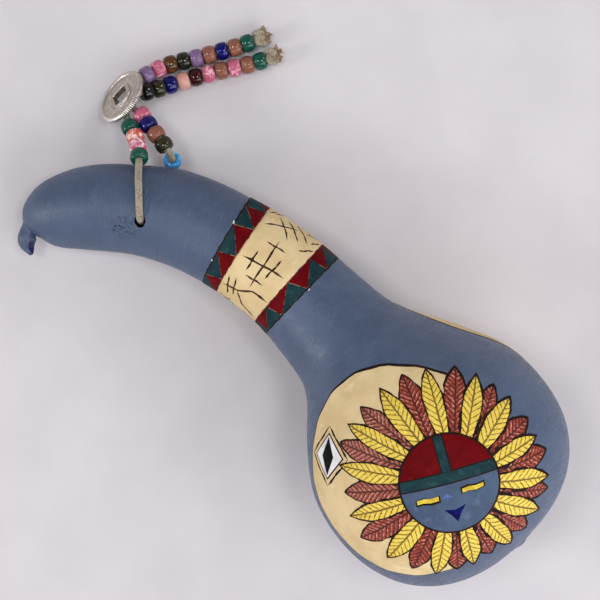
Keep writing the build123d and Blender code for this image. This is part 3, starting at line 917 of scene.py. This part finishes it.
outlines = {"rust": [], "yellow": []}
for number, row in enumerate(FEATHERS):
    kind = ("rust", "yellow")[number % 2]
    top, *shape = FEATHER_STYLES[kind]
    form, plan = feather(*row, (top, *shape), number)
    make_piece(f"{kind}_feather_{number // 2 + 1}", form, feather_finish[kind], plan=plan)
    heavy = 1.1 + 0.4 * (number in HEAVY_LINES)
    outlines[kind].append(feather(*row, (top - 0.12, *shape), number, heavy)[0])
for kind, forms in outlines.items():
    make_piece(f"{kind}_feather_outlines", joined(forms), line_paint)

# Sun's face: panels on a burnt disc, turned a little
FACE_TURN = np.radians(15.6)
PANEL_RADIUS = FACE_RADIUS - 0.5
# Lower and upper edge of the brow, left and right edge of the bar, and gap between panels, mm
BROW = (0.8, 5.4)
BAR = (-1.7, 2.1)
GAP = 0.5
PANEL_TOP = 0.72


def on_face(x, y, height):
    """Point over the bulb from the face's own level and upright."""
    level = x * cos(FACE_TURN) - y * sin(FACE_TURN)
    rise = x * sin(FACE_TURN) + y * cos(FACE_TURN)
    return on_bulb(FACE[0] + level, FACE[1] + rise, height)


def edge_angle(y):
    """Angle on the panel's rim at a height over the face's middle."""
    return np.degrees(np.arcsin(y / PANEL_RADIUS))


def rim_angle(x):
    """Angle on the panel's rim at a distance from the upright."""
    return np.degrees(np.arccos(x / PANEL_RADIUS))


panel_level = BROW[1] + GAP
left_edge, right_edge = BAR[0] - GAP, BAR[1] + GAP
left_panel = np.vstack([
    arc(PANEL_RADIUS, rim_angle(left_edge), 180 - edge_angle(panel_level), count=12),
    [(left_edge, panel_level)]])
right_panel = np.vstack([
    arc(PANEL_RADIUS, edge_angle(panel_level), rim_angle(right_edge), count=12),
    [(right_edge, panel_level)]])
brow = np.vstack([
    arc(PANEL_RADIUS, edge_angle(BROW[0]), edge_angle(BROW[1]), count=5),
    arc(PANEL_RADIUS, 180 - edge_angle(BROW[1]), 180 - edge_angle(BROW[0]), count=5)])
bar = np.vstack([
    arc(PANEL_RADIUS, rim_angle(BAR[1]), rim_angle(BAR[0]), count=4), [(BAR[0], BROW[1]), (BAR[1], BROW[1])]])
cheeks = arc(PANEL_RADIUS, 180 - edge_angle(BROW[0] - GAP), 360 + edge_angle(BROW[0] - GAP), count=26)
face_rim = circle(FACE_RADIUS + 0.5, count=60)
make_piece("face_outline", plaque(face_rim, top=0.58, place=on_face, rows=24), line_paint)
for name, outline, finish, rows in (
    ("face_red_left", left_panel, "red_paint", 14), ("face_red_right", right_panel, "red_paint", 14),
    ("face_brow", brow, "teal_paint", 14), ("face_bar", bar, "teal_paint", 10),
    ("face_cheeks", cheeks, "face_blue", 20),
):
    make_piece(name, plaque(outline, PANEL_TOP, on_face, rows), paint[finish])
for name, x, y, lift in (("left", -10.9, -4.7, -1.5), ("right", 9.3, -3.9, 1.0)):
    eye = np.array((
        (-5.1, -1.0), (-2.2, -0.7), (1.0, -1.3), (4.9, -0.9 + 0.1 * lift),
        (5.1, 1.0), (1.6, 0.7), (-1.8, 1.2), (-4.9, 0.9)))
    rim = eye * (1.14, 1.62) + (0, 0.25 * lift)
    rim_form = plaque((x, y) + rim, top=0.78, place=on_face, rows=6, step=0.6)
    eye_form = plaque((x, y) + eye, top=0.86, place=on_face, rows=6, step=0.6)
    make_piece(f"eye_{name}_outline", rim_form, line_paint)
    make_piece(f"eye_{name}", eye_form, paint["yellow_paint"])
mouth = np.array(((-5.2, -10.3), (-0.5, -11.3), (4.7, -9.9), (1.9, -13.2), (-0.5, -17.2), (-2.6, -13.6)))
make_piece("mouth", plaque(mouth, top=0.84, place=on_face, rows=8, step=0.8), paint["navy_paint"])
smears = [
    stroke(((-4.6, -5.4), (-2.6, -4.2), (-0.6, -5.2)), width=1.5, top=0.79, place=on_face),
    stroke(((-2.6, -3.4), (-2.2, -6.2)), width=1.1, top=0.8, place=on_face)]
make_piece("face_smear", joined(smears), paint["smear_paint"])

# Neck band: a cream sleeve between two strips of red and teal triangles
# Edges of strip, sleeve and strip along the neck, mm
BAND_EDGES = (112.2, 121.7, 149.8, 159.0)
TRIANGLES = 10
TRIANGLE_GAP = 0.2


def sleeve(start, end, top, rows=16, columns=160):
    """Thin ring round the neck: a flat section from start to end with wavy edges, closed under the skin."""
    x = np.linspace(start, end, rows)
    height = top * np.minimum(1, np.minimum(x - start, end - x) / 0.35 + 0.15)
    x = np.concatenate([x, x[::-1]])[:, None]
    height = np.concatenate([height, np.full(rows, -0.25)])[:, None]
    y = np.linspace(-pi, pi, columns, endpoint=False)[None] * BAND_RADIUS
    wavy = 0.14 * sin(y * 0.9) + 0.1 * sin(y * 2.3 + x)
    return closed_form(on_neck(x + wavy, y + 0 * x, height + 0 * y), ring=True)


band_ground = sleeve(BAND_EDGES[0] - 0.4, BAND_EDGES[3] + 0.4, top=0.06, rows=40)
make_piece("band_outline", band_ground, scratched_line)
for number, edge in enumerate((BAND_EDGES[0], BAND_EDGES[3])):
    make_piece(f"band_edge_{number + 1}", sleeve(edge - 0.45, edge + 0.4, top=0.14, rows=8), line_paint)
make_piece("band_cream", sleeve(BAND_EDGES[1], BAND_EDGES[2], top=0.2, rows=26), paint["cream_paint"])
period = 2 * pi * BAND_RADIUS / TRIANGLES
red_forms, teal_forms = [], []
draw = np.random.default_rng(21)
for outer_x, inner_x, skew, shift in (
    (BAND_EDGES[0] + 0.3, BAND_EDGES[1] - 0.05, -0.3, 4.0),
    (BAND_EDGES[3] - 0.3, BAND_EDGES[2] + 0.05, 0.3, 0.5),
):
    bases = (np.arange(TRIANGLES) + draw.uniform(-0.1, 0.1, TRIANGLES)) * period + shift
    tips = bases + period * (0.5 + skew + draw.uniform(-0.06, 0.06, TRIANGLES))
    ends = np.append(bases[1:], bases[0] + TRIANGLES * period)
    next_tips = np.append(tips[1:], tips[0] + TRIANGLES * period)
    for base, end, tip, next_tip in zip(bases, ends, tips, next_tips):
        red = ((inner_x, base + TRIANGLE_GAP), (inner_x, end - TRIANGLE_GAP), (outer_x, tip))
        teal = ((outer_x, tip + TRIANGLE_GAP), (outer_x, next_tip - TRIANGLE_GAP), (inner_x, end))
        red_forms.append(plaque(red, top=0.22, place=on_neck, rows=5))
        teal_forms.append(plaque(teal, top=0.2, place=on_neck, rows=5))
make_piece("band_red", joined(red_forms), paint["red_paint"])
make_piece("band_teal", joined(teal_forms), paint["teal_paint"])

# Scratched marks on the cream sleeve: crosses, tallies and a forked line, each with its points and width
MARKS = (
    (((124, 3), (147, 0)), 1.3), (((129, -3), (130, 8)), 1.25), (((141, -6), (140, 6)), 1.25),
    (((134.5, -13), (136.5, 14)), 1.25), (((130, -9), (140, -10)), 1.1), (((131, 10), (141, 9)), 1.15),
    (((124, -17), (138, -27)), 1.15), (((128, -28), (137, -16)), 1.1), (((132, -31), (141, -19)), 1.1),
    (((136, -33), (145, -22)), 1.05), (((123, 22), (132, 20), (139, 15), (149, 14)), 1.4),
    (((132, 20), (138, 27), (149, 30)), 1.3), (((124, 15), (128, 27)), 1.2), (((128, 14), (131, 25)), 1.2),
    (((123, -27), (126, -33)), 1.1), (((126, -30), (129, -36)), 1.1), (((144, -15), (149, -21)), 1.1),
    (((146, -24), (149, -30)), 1.1), (((142, -30), (147, -36)), 1.1), (((123, 32), (134, 37)), 1.1),
    (((127, 38), (131, 31)), 1.0), (((140, 35), (148, 37)), 1.0),
    (((126, 48), (146, 50)), 1.2), (((136, 43), (135, 56)), 1.2), (((126, -48), (146, -46)), 1.2),
    (((131, -52), (131, -42)), 1.1), (((139, -53), (140, -41)), 1.1), (((127, 66), (145, 70)), 1.2),
    (((133, 62), (134, 74)), 1.1), (((140, -66), (128, -62)), 1.1),
)
MARK_SHARE = 0.9
marks = [stroke(points, width * MARK_SHARE, top=0.3, place=on_neck) for points, width in MARKS]
make_piece("band_marks", joined(marks), mark_paint)
# Small chips along the band's edges: place along the neck, place round it, and size
CHIPS = ((111.6, -9.0, 0.8), (111.8, 13.0, 0.5), (121.6, -27.0, 0.5), (159.6, -4.0, 0.5))
chips = [
    stroke(
        ((x - 0.2, y - 1.3 * size), (x + 0.3, y), (x, y + size)), size, top=0.26, place=on_neck,
        rows=10, columns=8)
    for x, y, size in CHIPS]
make_piece("band_chips", joined(chips), paint["white_paint"])


# Lace: the routes of the solids as control points, from inside the neck to the end knots
ROUTE_A = (
    (-0.0910, 0.0155, 0.0374), (-0.0909, 0.0153, 0.0498), (-0.0980, 0.0256, 0.0507),
    (-0.1053, 0.0352, 0.0446), (-0.1103, 0.0418, 0.0342), (-0.1142, 0.0458, 0.0299),
    (-0.1186, 0.0494, 0.0259), (-0.1243, 0.0519, 0.0226), (-0.1334, 0.0594, 0.0145),
    (-0.1352, 0.0658, 0.0124), (-0.1356, 0.0742, 0.0106), (-0.1333, 0.0794, 0.0089),
    (-0.1306, 0.0850, 0.0072), (-0.1270, 0.0905, 0.0058), (-0.1226, 0.0955, 0.0050),
    (-0.1183, 0.0999, 0.0047), (-0.1092, 0.1101, 0.0047), (-0.1017, 0.1189, 0.0047),
    (-0.0976, 0.1246, 0.0047),
)
ROUTE_B = (
    (-0.0941, 0.0409, 0.0135), (-0.0954, 0.0444, 0.0108), (-0.0968, 0.0482, 0.0130),
    (-0.0972, 0.0496, 0.0196), (-0.0977, 0.0509, 0.0276), (-0.1043, 0.0537, 0.0272),
    (-0.1105, 0.0560, 0.0259), (-0.1166, 0.0578, 0.0237), (-0.1228, 0.0607, 0.0202),
    (-0.1311, 0.0611, 0.0176), (-0.1328, 0.0675, 0.0154), (-0.1283, 0.0718, 0.0116),
    (-0.1249, 0.0764, 0.0085), (-0.1209, 0.0819, 0.0063), (-0.1166, 0.0874, 0.0050),
    (-0.1123, 0.0925, 0.0047), (-0.1038, 0.1019, 0.0047), (-0.0941, 0.1117, 0.0047),
    (-0.0905, 0.1157, 0.0047), (-0.0875, 0.1198, 0.0047),
)
BRIDGE = (
    (-0.0910, 0.0155, 0.0374), (-0.0912, 0.0157, 0.0274), (-0.0900, 0.0292, 0.0221),
    (-0.0941, 0.0409, 0.0135),
)


def smooth_line(name, route):
    """Points along the smooth spline that has the route as its control points."""
    curve = bpy.data.curves.new(name, "CURVE")
    curve.dimensions = "3D"
    curve.resolution_u = 14
    spline = curve.splines.new("NURBS")
    spline.points.add(len(route) - 1)
    spline.points.foreach_set("co", np.hstack([np.array(route), np.ones((len(route), 1))]).ravel())
    spline.order_u = 3
    spline.use_endpoint_u = True
    holder = add_object(name, curve)
    mesh = finished_mesh(holder)
    line = mesh_points(mesh)
    bpy.data.objects.remove(holder)
    bpy.data.meshes.remove(mesh)
    return line


def carried_frames(line, first_side):
    """Side and top at each point of a line; the side turns with the line and never twists."""
    heading = unit(np.gradient(line, axis=0))
    sides = [unit(first_side - heading[0] * (first_side @ heading[0]))]
    for ahead in heading[1:]:
        sides.append(unit(sides[-1] - ahead * (sides[-1] @ ahead)))
    side = np.array(sides)
    return side, np.cross(heading, side)


def thong(line, wide, seed, thick=2.9, columns=22, nap=0.14):
    """Leather thong: a rounded flat section carried along a line, with an uneven napped surface."""
    side, top = carried_frames(line, picture_right)
    turn = turns(columns)
    section_x = wide / 2 * signed_power(cos(turn), 0.8)
    section_y = thick / 2 * signed_power(sin(turn), 0.8)
    spoke = side[:, None] * section_x[:, None] + top[:, None] * section_y[:, None]
    grid = line[:, None] + spoke * MM
    rough = ripple(grid / MM, length=1.3, seed=seed, waves=14)
    rough = rough + 0.8 * ripple(grid / MM, length=3.4, seed=seed + 1)
    return closed_form(grid + unit(spoke) * (nap * rough)[..., None] * MM)


lace_lines = {"a": smooth_line("lace_a_line", ROUTE_A), "b": smooth_line("lace_b_line", ROUTE_B)}
for key, line in lace_lines.items():
    form = thong(line, wide=3.5, seed=30 + ord(key))
    make_piece(f"suede_lace_{key}", form, suede_tan, replaces=[f"lace_{key}"])
bridge = thong(smooth_line("lace_bridge_line", BRIDGE), wide=3.4, seed=60)
make_piece("suede_lace_bridge", bridge, suede_tan, replaces=["lace_bridge"])


# End knots: an overhand loop drawn tight, and the torn ends beyond it
STRIPS = 30
FLOOR_GAP = 0.0003


def knot_form(line, seed):
    """Knot and fray at the end of a line: a three-lobed closed loop of thong, then torn strips that spread.

    Also returns a plan whose third value is 1 on the strips.
    """
    draw = np.random.default_rng(seed)
    heading = unit(line[-1] - line[-6])
    side = unit(np.cross(UPRIGHT, heading))
    top = np.cross(heading, side)
    t = turns(120)
    loop = np.stack([sin(t) + 2 * sin(2 * t), cos(t) - 2 * cos(2 * t), -2.4 * sin(3 * t)], 1)
    loop = loop * (1.08, 1.08, 0.72) + np.array((0, 0, 3.0))
    ahead = unit(np.roll(loop, -1, 0) - np.roll(loop, 1, 0))
    bend = unit(np.roll(ahead, -1, 0) - np.roll(ahead, 1, 0))
    turn = turns(16)
    spoke = spokes(1.8 * bend[:, None], 1.35 * np.cross(ahead, bend)[:, None], turn)
    grid = loop[:, None] + spoke
    grid = grid + unit(spoke) * (0.16 * ripple(grid, length=1.4, seed=seed))[..., None]
    forms = [(grid, True)]
    for number in range(STRIPS):
        reach = draw.uniform(2.6, 5.6)
        spread = draw.uniform(0.0, 0.95)
        around = 2.4 * number + draw.uniform(-0.3, 0.3)
        curl = draw.uniform(-1.0, 1.0, 2)
        s = np.linspace(0, 1, 12)
        out = 0.4 + 2.4 * spread + spread * reach * s**1.4 * 0.5
        rise = 4.0 + reach * s - 0.5 * spread * s**2 * reach
        strip = np.stack([out * cos(around), out * sin(around), rise], 1)
        strip[:, :2] += curl * (s**2)[:, None] * 1.1
        along = unit(np.gradient(strip, axis=0))
        flat = unit(np.cross(along, (cos(around + curl[0]), sin(around + curl[0]), 0.35)))
        wide = draw.uniform(0.8, 1.5) * (1 - 0.35 * s**3)
        ring = turns(8)
        spoke = flat[:, None] * (wide[:, None] * cos(ring))[..., None]
        spoke = spoke + np.cross(along, flat)[:, None] * (0.42 * wide[:, None] * sin(ring))[..., None]
        forms.append((strip[:, None] + spoke, False))
    shapes, plans = [], []
    for grid, ring in forms:
        spot = line[-1] + (grid[..., :1] * side + grid[..., 1:2] * top + grid[..., 2:] * heading) * MM
        spot[..., 2] = np.maximum(spot[..., 2], FLOOR_GAP)
        shapes.append(closed_form(spot, ring=ring))
        plans.append(np.broadcast_to((0, 0, 0.0 if ring else 1.0), (len(shapes[-1][0]), 3)))
    return joined(shapes), np.vstack(plans)


knots = {}
for key, line in lace_lines.items():
    shape, plan = knot_form(line, seed=70 + ord(key))
    knots[key] = make_piece(
        f"frayed_knot_{key}", shape, suede_tan, replaces=[f"knot_{key}"], plan=plan)

# Beads: a barrel with round shoulders and a bore, turned about its own axis. Tones by slot: the main one,
# that of the swirls, and how much of it shows
BEAD_TONES = {
    "bead_lavender": ((122, 94, 132), (166, 140, 178), 0.4),
    "bead_pink": ((184, 90, 116), (238, 182, 198), 0.62),
    "bead_amber": ((76, 42, 16), (136, 92, 48), 0.4),
    "bead_dark_green": ((26, 30, 18), (80, 86, 66), 0.3),
    "bead_tan": ((132, 82, 64), (164, 116, 98), 0.4),
    "bead_blue": ((2, 4, 88), (26, 32, 138), 0.3),
    "bead_green": ((8, 74, 60), (58, 136, 112), 0.25),
    "bead_black_green": ((6, 6, 3), (26, 29, 19), 0.3),
    "bead_olive": ((38, 36, 16), (82, 80, 48), 0.4),
    "bead_peach": ((208, 153, 142), (234, 195, 187), 0.4),
    "bead_maroon": ((52, 3, 5), (100, 24, 28), 0.3),
    "bead_light_blue": ((60, 144, 208), (158, 206, 240), 0.4),
    "bead_marbled": ((192, 92, 118), (250, 222, 228), 0.85),
    "bead_coral": ((202, 88, 78), (250, 222, 214), 0.85),
}
# Sizes of a bead, mm, and the power of its rounded shoulders
BEAD_RADIUS = 4.57
BEAD_BORE = 2.1
BEAD_HALF = 3.2
BEAD_SHOULDER = 0.72


def bead_form(centre, axis):
    """A bead: the outer curve is a rounded oblong from bore to rim, closed by the straight bore."""
    t = np.linspace(0, pi, 23)
    z = -BEAD_HALF * signed_power(cos(t), BEAD_SHOULDER)
    r = BEAD_BORE + (BEAD_RADIUS - BEAD_BORE) * sin(t) ** BEAD_SHOULDER
    z = np.concatenate([z, np.linspace(BEAD_HALF, -BEAD_HALF, 7)[1:-1]])
    r = np.concatenate([r, np.full(5, BEAD_BORE)])
    side = unit(np.cross(axis, (0.3, 0.2, 1.0)))
    spoke = spokes(side, np.cross(axis, side), turns(48))
    return closed_form(centre + (r[:, None, None] * spoke + z[:, None, None] * axis) * MM, ring=True)


glass = {
    slot: bead_glass(slot.removeprefix("bead_") + "_glass", tone(*main), tone(*swirl), share)
    for slot, (main, swirl, share) in BEAD_TONES.items()}
threaded = {key: [knot] for key, knot in knots.items()}
for joint in frame["joints"]:
    node = joint["child"]
    if node.startswith("bead"):
        centre = np.mean(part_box(node), axis=0) if joint["type"] == "slide" else np.array(joint["pos_m"])
        form, slot = bead_form(centre, unit(np.array(joint["axis"]))), slot_of[node]
        name = node.replace("bead", "glass")
        bead = make_piece(name, form, glass[slot], body=node, replaces=[node])
        threaded["a" if "_a_" in node else "b"].append(bead)

# Disc: turned silver with a raised collar, a ticked rim and a worn ring of scallops
# Two directions in the disc's plane, the one that it faces, and its middle, mm
DISC_X = unit(np.array((-0.254987, 0.916613, -0.3079)))
DISC_FACE = unit(np.array((-0.787914, -0.012378, 0.615661)))
DISC_Y = np.cross(DISC_FACE, DISC_X)
DISC_CENTRE = np.array((-136.736, 62.687, 15.7))
# Radius and level of the section's corners, mm
DISC_SECTION = np.array((
    (5.0, -1.3), (13.9, -1.35), (14.6, -0.8), (14.8, 0.0), (14.7, 0.7), (14.3, 1.2), (13.7, 1.4),
    (13.0, 1.35), (12.5, 0.85), (7.1, 0.85), (6.7, 1.75), (5.5, 1.75), (5.0, 1.3),
))
SCALLOPS = 12
TICKS = 84
# Power of the curve that gives the disc's hole its four corners
HOLE_POWER = 1.15
TICKED_TURN = np.radians(238.0)
# Heading of the side of the rim that gets a painted highlight
RIM_HIGHLIGHT_TURN = np.radians(200.0)


def disc_form():
    """Disc's surface: its section carried round, with a four-cornered hole, a ticked rim and low scallops; and its
    plan of worn brightness, with a painted highlight on one side of the rim.
    """
    loop = np.vstack([DISC_SECTION, DISC_SECTION[:1]])
    lengths = lengths_along(loop)
    at = np.linspace(0, lengths[-1], 110, endpoint=False)
    r = np.interp(at, lengths, loop[:, 0])[:, None]
    z = np.interp(at, lengths, loop[:, 1])[:, None]
    turn = turns(360)[None]
    spot = np.stack([r * cos(turn), r * sin(turn), z + 0 * turn], -1)
    # front is 1 on the upper side, and face is 1 on its flat ring between collar and rim
    front = eased(z, 0.5, 0.84)
    face = front * eased(r, 7.3, 8.2) * (1 - eased(r, 11.4, 12.3))
    scallop = np.abs(sin(turn * SCALLOPS / 2)) ** 0.7
    dents = 0.12 * ripple(spot, length=3.0, seed=90)
    relief = face * (0.14 * eased(10.9 - 1.9 * scallop - r, -0.5, 0.5) + dents)
    relief = relief + 0.05 * sin(r * 6.0) * front
    ticked = 0.2 + 0.8 * eased(cos(turn - TICKED_TURN), 0.86, 0.95)
    tick = eased(r, 13.8, 14.4) * eased(z, -1.1, -0.6) * eased(sin(turn * TICKS), 0.0, 0.6) * 0.2 * ticked
    wear = 0.06 * ripple(spot, length=5.0, seed=91)
    cornered = np.abs(cos(turn)) ** HOLE_POWER + np.abs(sin(turn)) ** HOLE_POWER
    cornered = 1.1 / cornered ** (1 / HOLE_POWER)
    hole = 1 + (cornered - 1) * (1 - eased(r, 5.2, 7.0))
    r2, z2 = r * hole - tick * 0.9, z + relief - tick + wear * eased(z, 0.2, 0.8)
    spoke = spokes(DISC_X, DISC_Y, turn)
    grid = DISC_CENTRE + spoke * r2[..., None] + DISC_FACE * z2[..., None]
    # Painted highlight: the rim is made brighter on one side, where a lamp's reflection falls
    rim_highlight = 0.35 + 0.65 * eased(cos(turn - RIM_HIGHLIGHT_TURN), 0.3, 0.8)
    bright = 0.42 + 0.9 * (relief + wear) + 0.5 * eased(r, 12.7, 13.2) * rim_highlight - tick * 9
    # The bore's wall and the back get almost no brightness, so they come out dark
    bright = bright * eased(r, 5.0, 5.3) * eased(z, -1.34, -1.1)
    plan = np.stack([bright + 0 * z, r2, turn + 0 * z], -1)
    return closed_form(grid * MM, ring=True), plan.reshape(-1, 3)


disc_shape, disc_plan = disc_form()
make_piece("silver_disc", disc_shape, silver, body="disc", replaces=["disc"], plan=disc_plan)
loop_metal = Finish("loop_wire", Metallic=1.0)
loop_grain = loop_metal.noise(0.0012, detail=3)
loop_tone = loop_metal.mix(loop_metal.ease(loop_grain, 0.3, 0.7), tone(150, 144, 134), tone(196, 190, 180))
loop_slots = frame["nodes"]["disc_loop"].data.materials
loop_slots.clear()
loop_slots.append(loop_metal.done(loop_tone, loop_grain, depth=0.0001, strength=0.4, roughness=0.36))

# Table, light and camera
TABLE_HALF = 1.6
table_corners = np.array(((-1, -1, 0), (1, -1, 0), (1, 1, 0), (-1, 1, 0))) * TABLE_HALF
table_mesh = bpy.data.meshes.new("table")
table_mesh.from_pydata(table_corners.tolist(), [], [(0, 1, 2, 3)])
table_top = Finish("table_top", Roughness=0.8)
table_cloud = table_top.ease(table_top.noise(0.05, detail=3), 0.3, 0.7)
table_mesh.materials.append(table_top.done(
    table_top.mix(table_cloud, tone(202, 197, 202), tone(208, 203, 207))))
table = add_object("table", table_mesh)

world = bpy.data.worlds.new("studio")
bpy.context.scene.world = world
world.use_nodes = True
sky = NodeWork(world.node_tree)
background = sky.nodes["Background"]
background.inputs["Color"].default_value = (0.98, 0.98, 1.0, 1.0)
look = sky.nodes.new("ShaderNodeTexCoord").outputs["Generated"]


def sky_share(aim, low, high, first, last):
    """Smooth step over the sky, from first to last as a direction turns towards aim."""
    return sky.ease(sky.vector("DOT_PRODUCT", look, aim)["Value"], low, high, first, last)


overhead = sky_share((0, 0, 1), low=0.5, high=1.0, first=1.0, last=0.2)
bright_side = sky_share((0.65, -0.76, 0), low=-1.0, high=1.0, first=0.34, last=0.74)
sky.links.new(sky.times(overhead, bright_side), background.inputs["Strength"])


def soft_lamp(name, place, aim, size, power):
    """A square lamp at place that shines at aim."""
    lamp = bpy.data.lights.new(name, "AREA")
    lamp.size = size
    lamp.energy = power
    away = unit(np.array(place) - np.array(aim))
    side = unit(np.cross((0, 1, 0.01), away))
    turned = np.eye(4)
    turned[:3, :3] = np.stack([side, np.cross(away, side), away], 1)
    turned[:3, 3] = place
    add_object(name, lamp).matrix_world = Matrix(turned.tolist())


# Place and aim in m, width in m and power in W
for lamp_row in (
    ("window", (1.1, -0.12, 0.75), (0.03, 0, 0), 1.1, 10.5),
    ("ceiling_left", (-0.34, -0.12, 1.35), (0, 0, 0), 0.26, 4.0),
    ("ceiling_right", (0.25, 0.2, 1.35), (0, 0, 0), 0.26, 3.3),
    ("side_left", (-0.9, -0.72, 0.5), (0.03, 0, 0.04), 0.26, 4.8),
    ("far_side", (0.2, 1.0, 0.75), (0, 0, 0.03), 0.26, 2.0),
):
    soft_lamp(*lamp_row)

# The camera's place, and half of the width that it sees on the table, m
CAMERA_PLACE = (-0.00537, 0.02611, 0.8)
VIEW_HALF = 0.1545
camera = add_object("camera", bpy.data.cameras.new("camera"))
camera.location = CAMERA_PLACE
camera.rotation_euler = (0, 0, PICTURE_TURN)
camera.data.angle = 2 * np.arctan(VIEW_HALF / CAMERA_PLACE[2])
camera.data.clip_start = 0.05
bpy.context.scene.camera = camera
bpy.context.scene.view_settings.view_transform = "Standard"
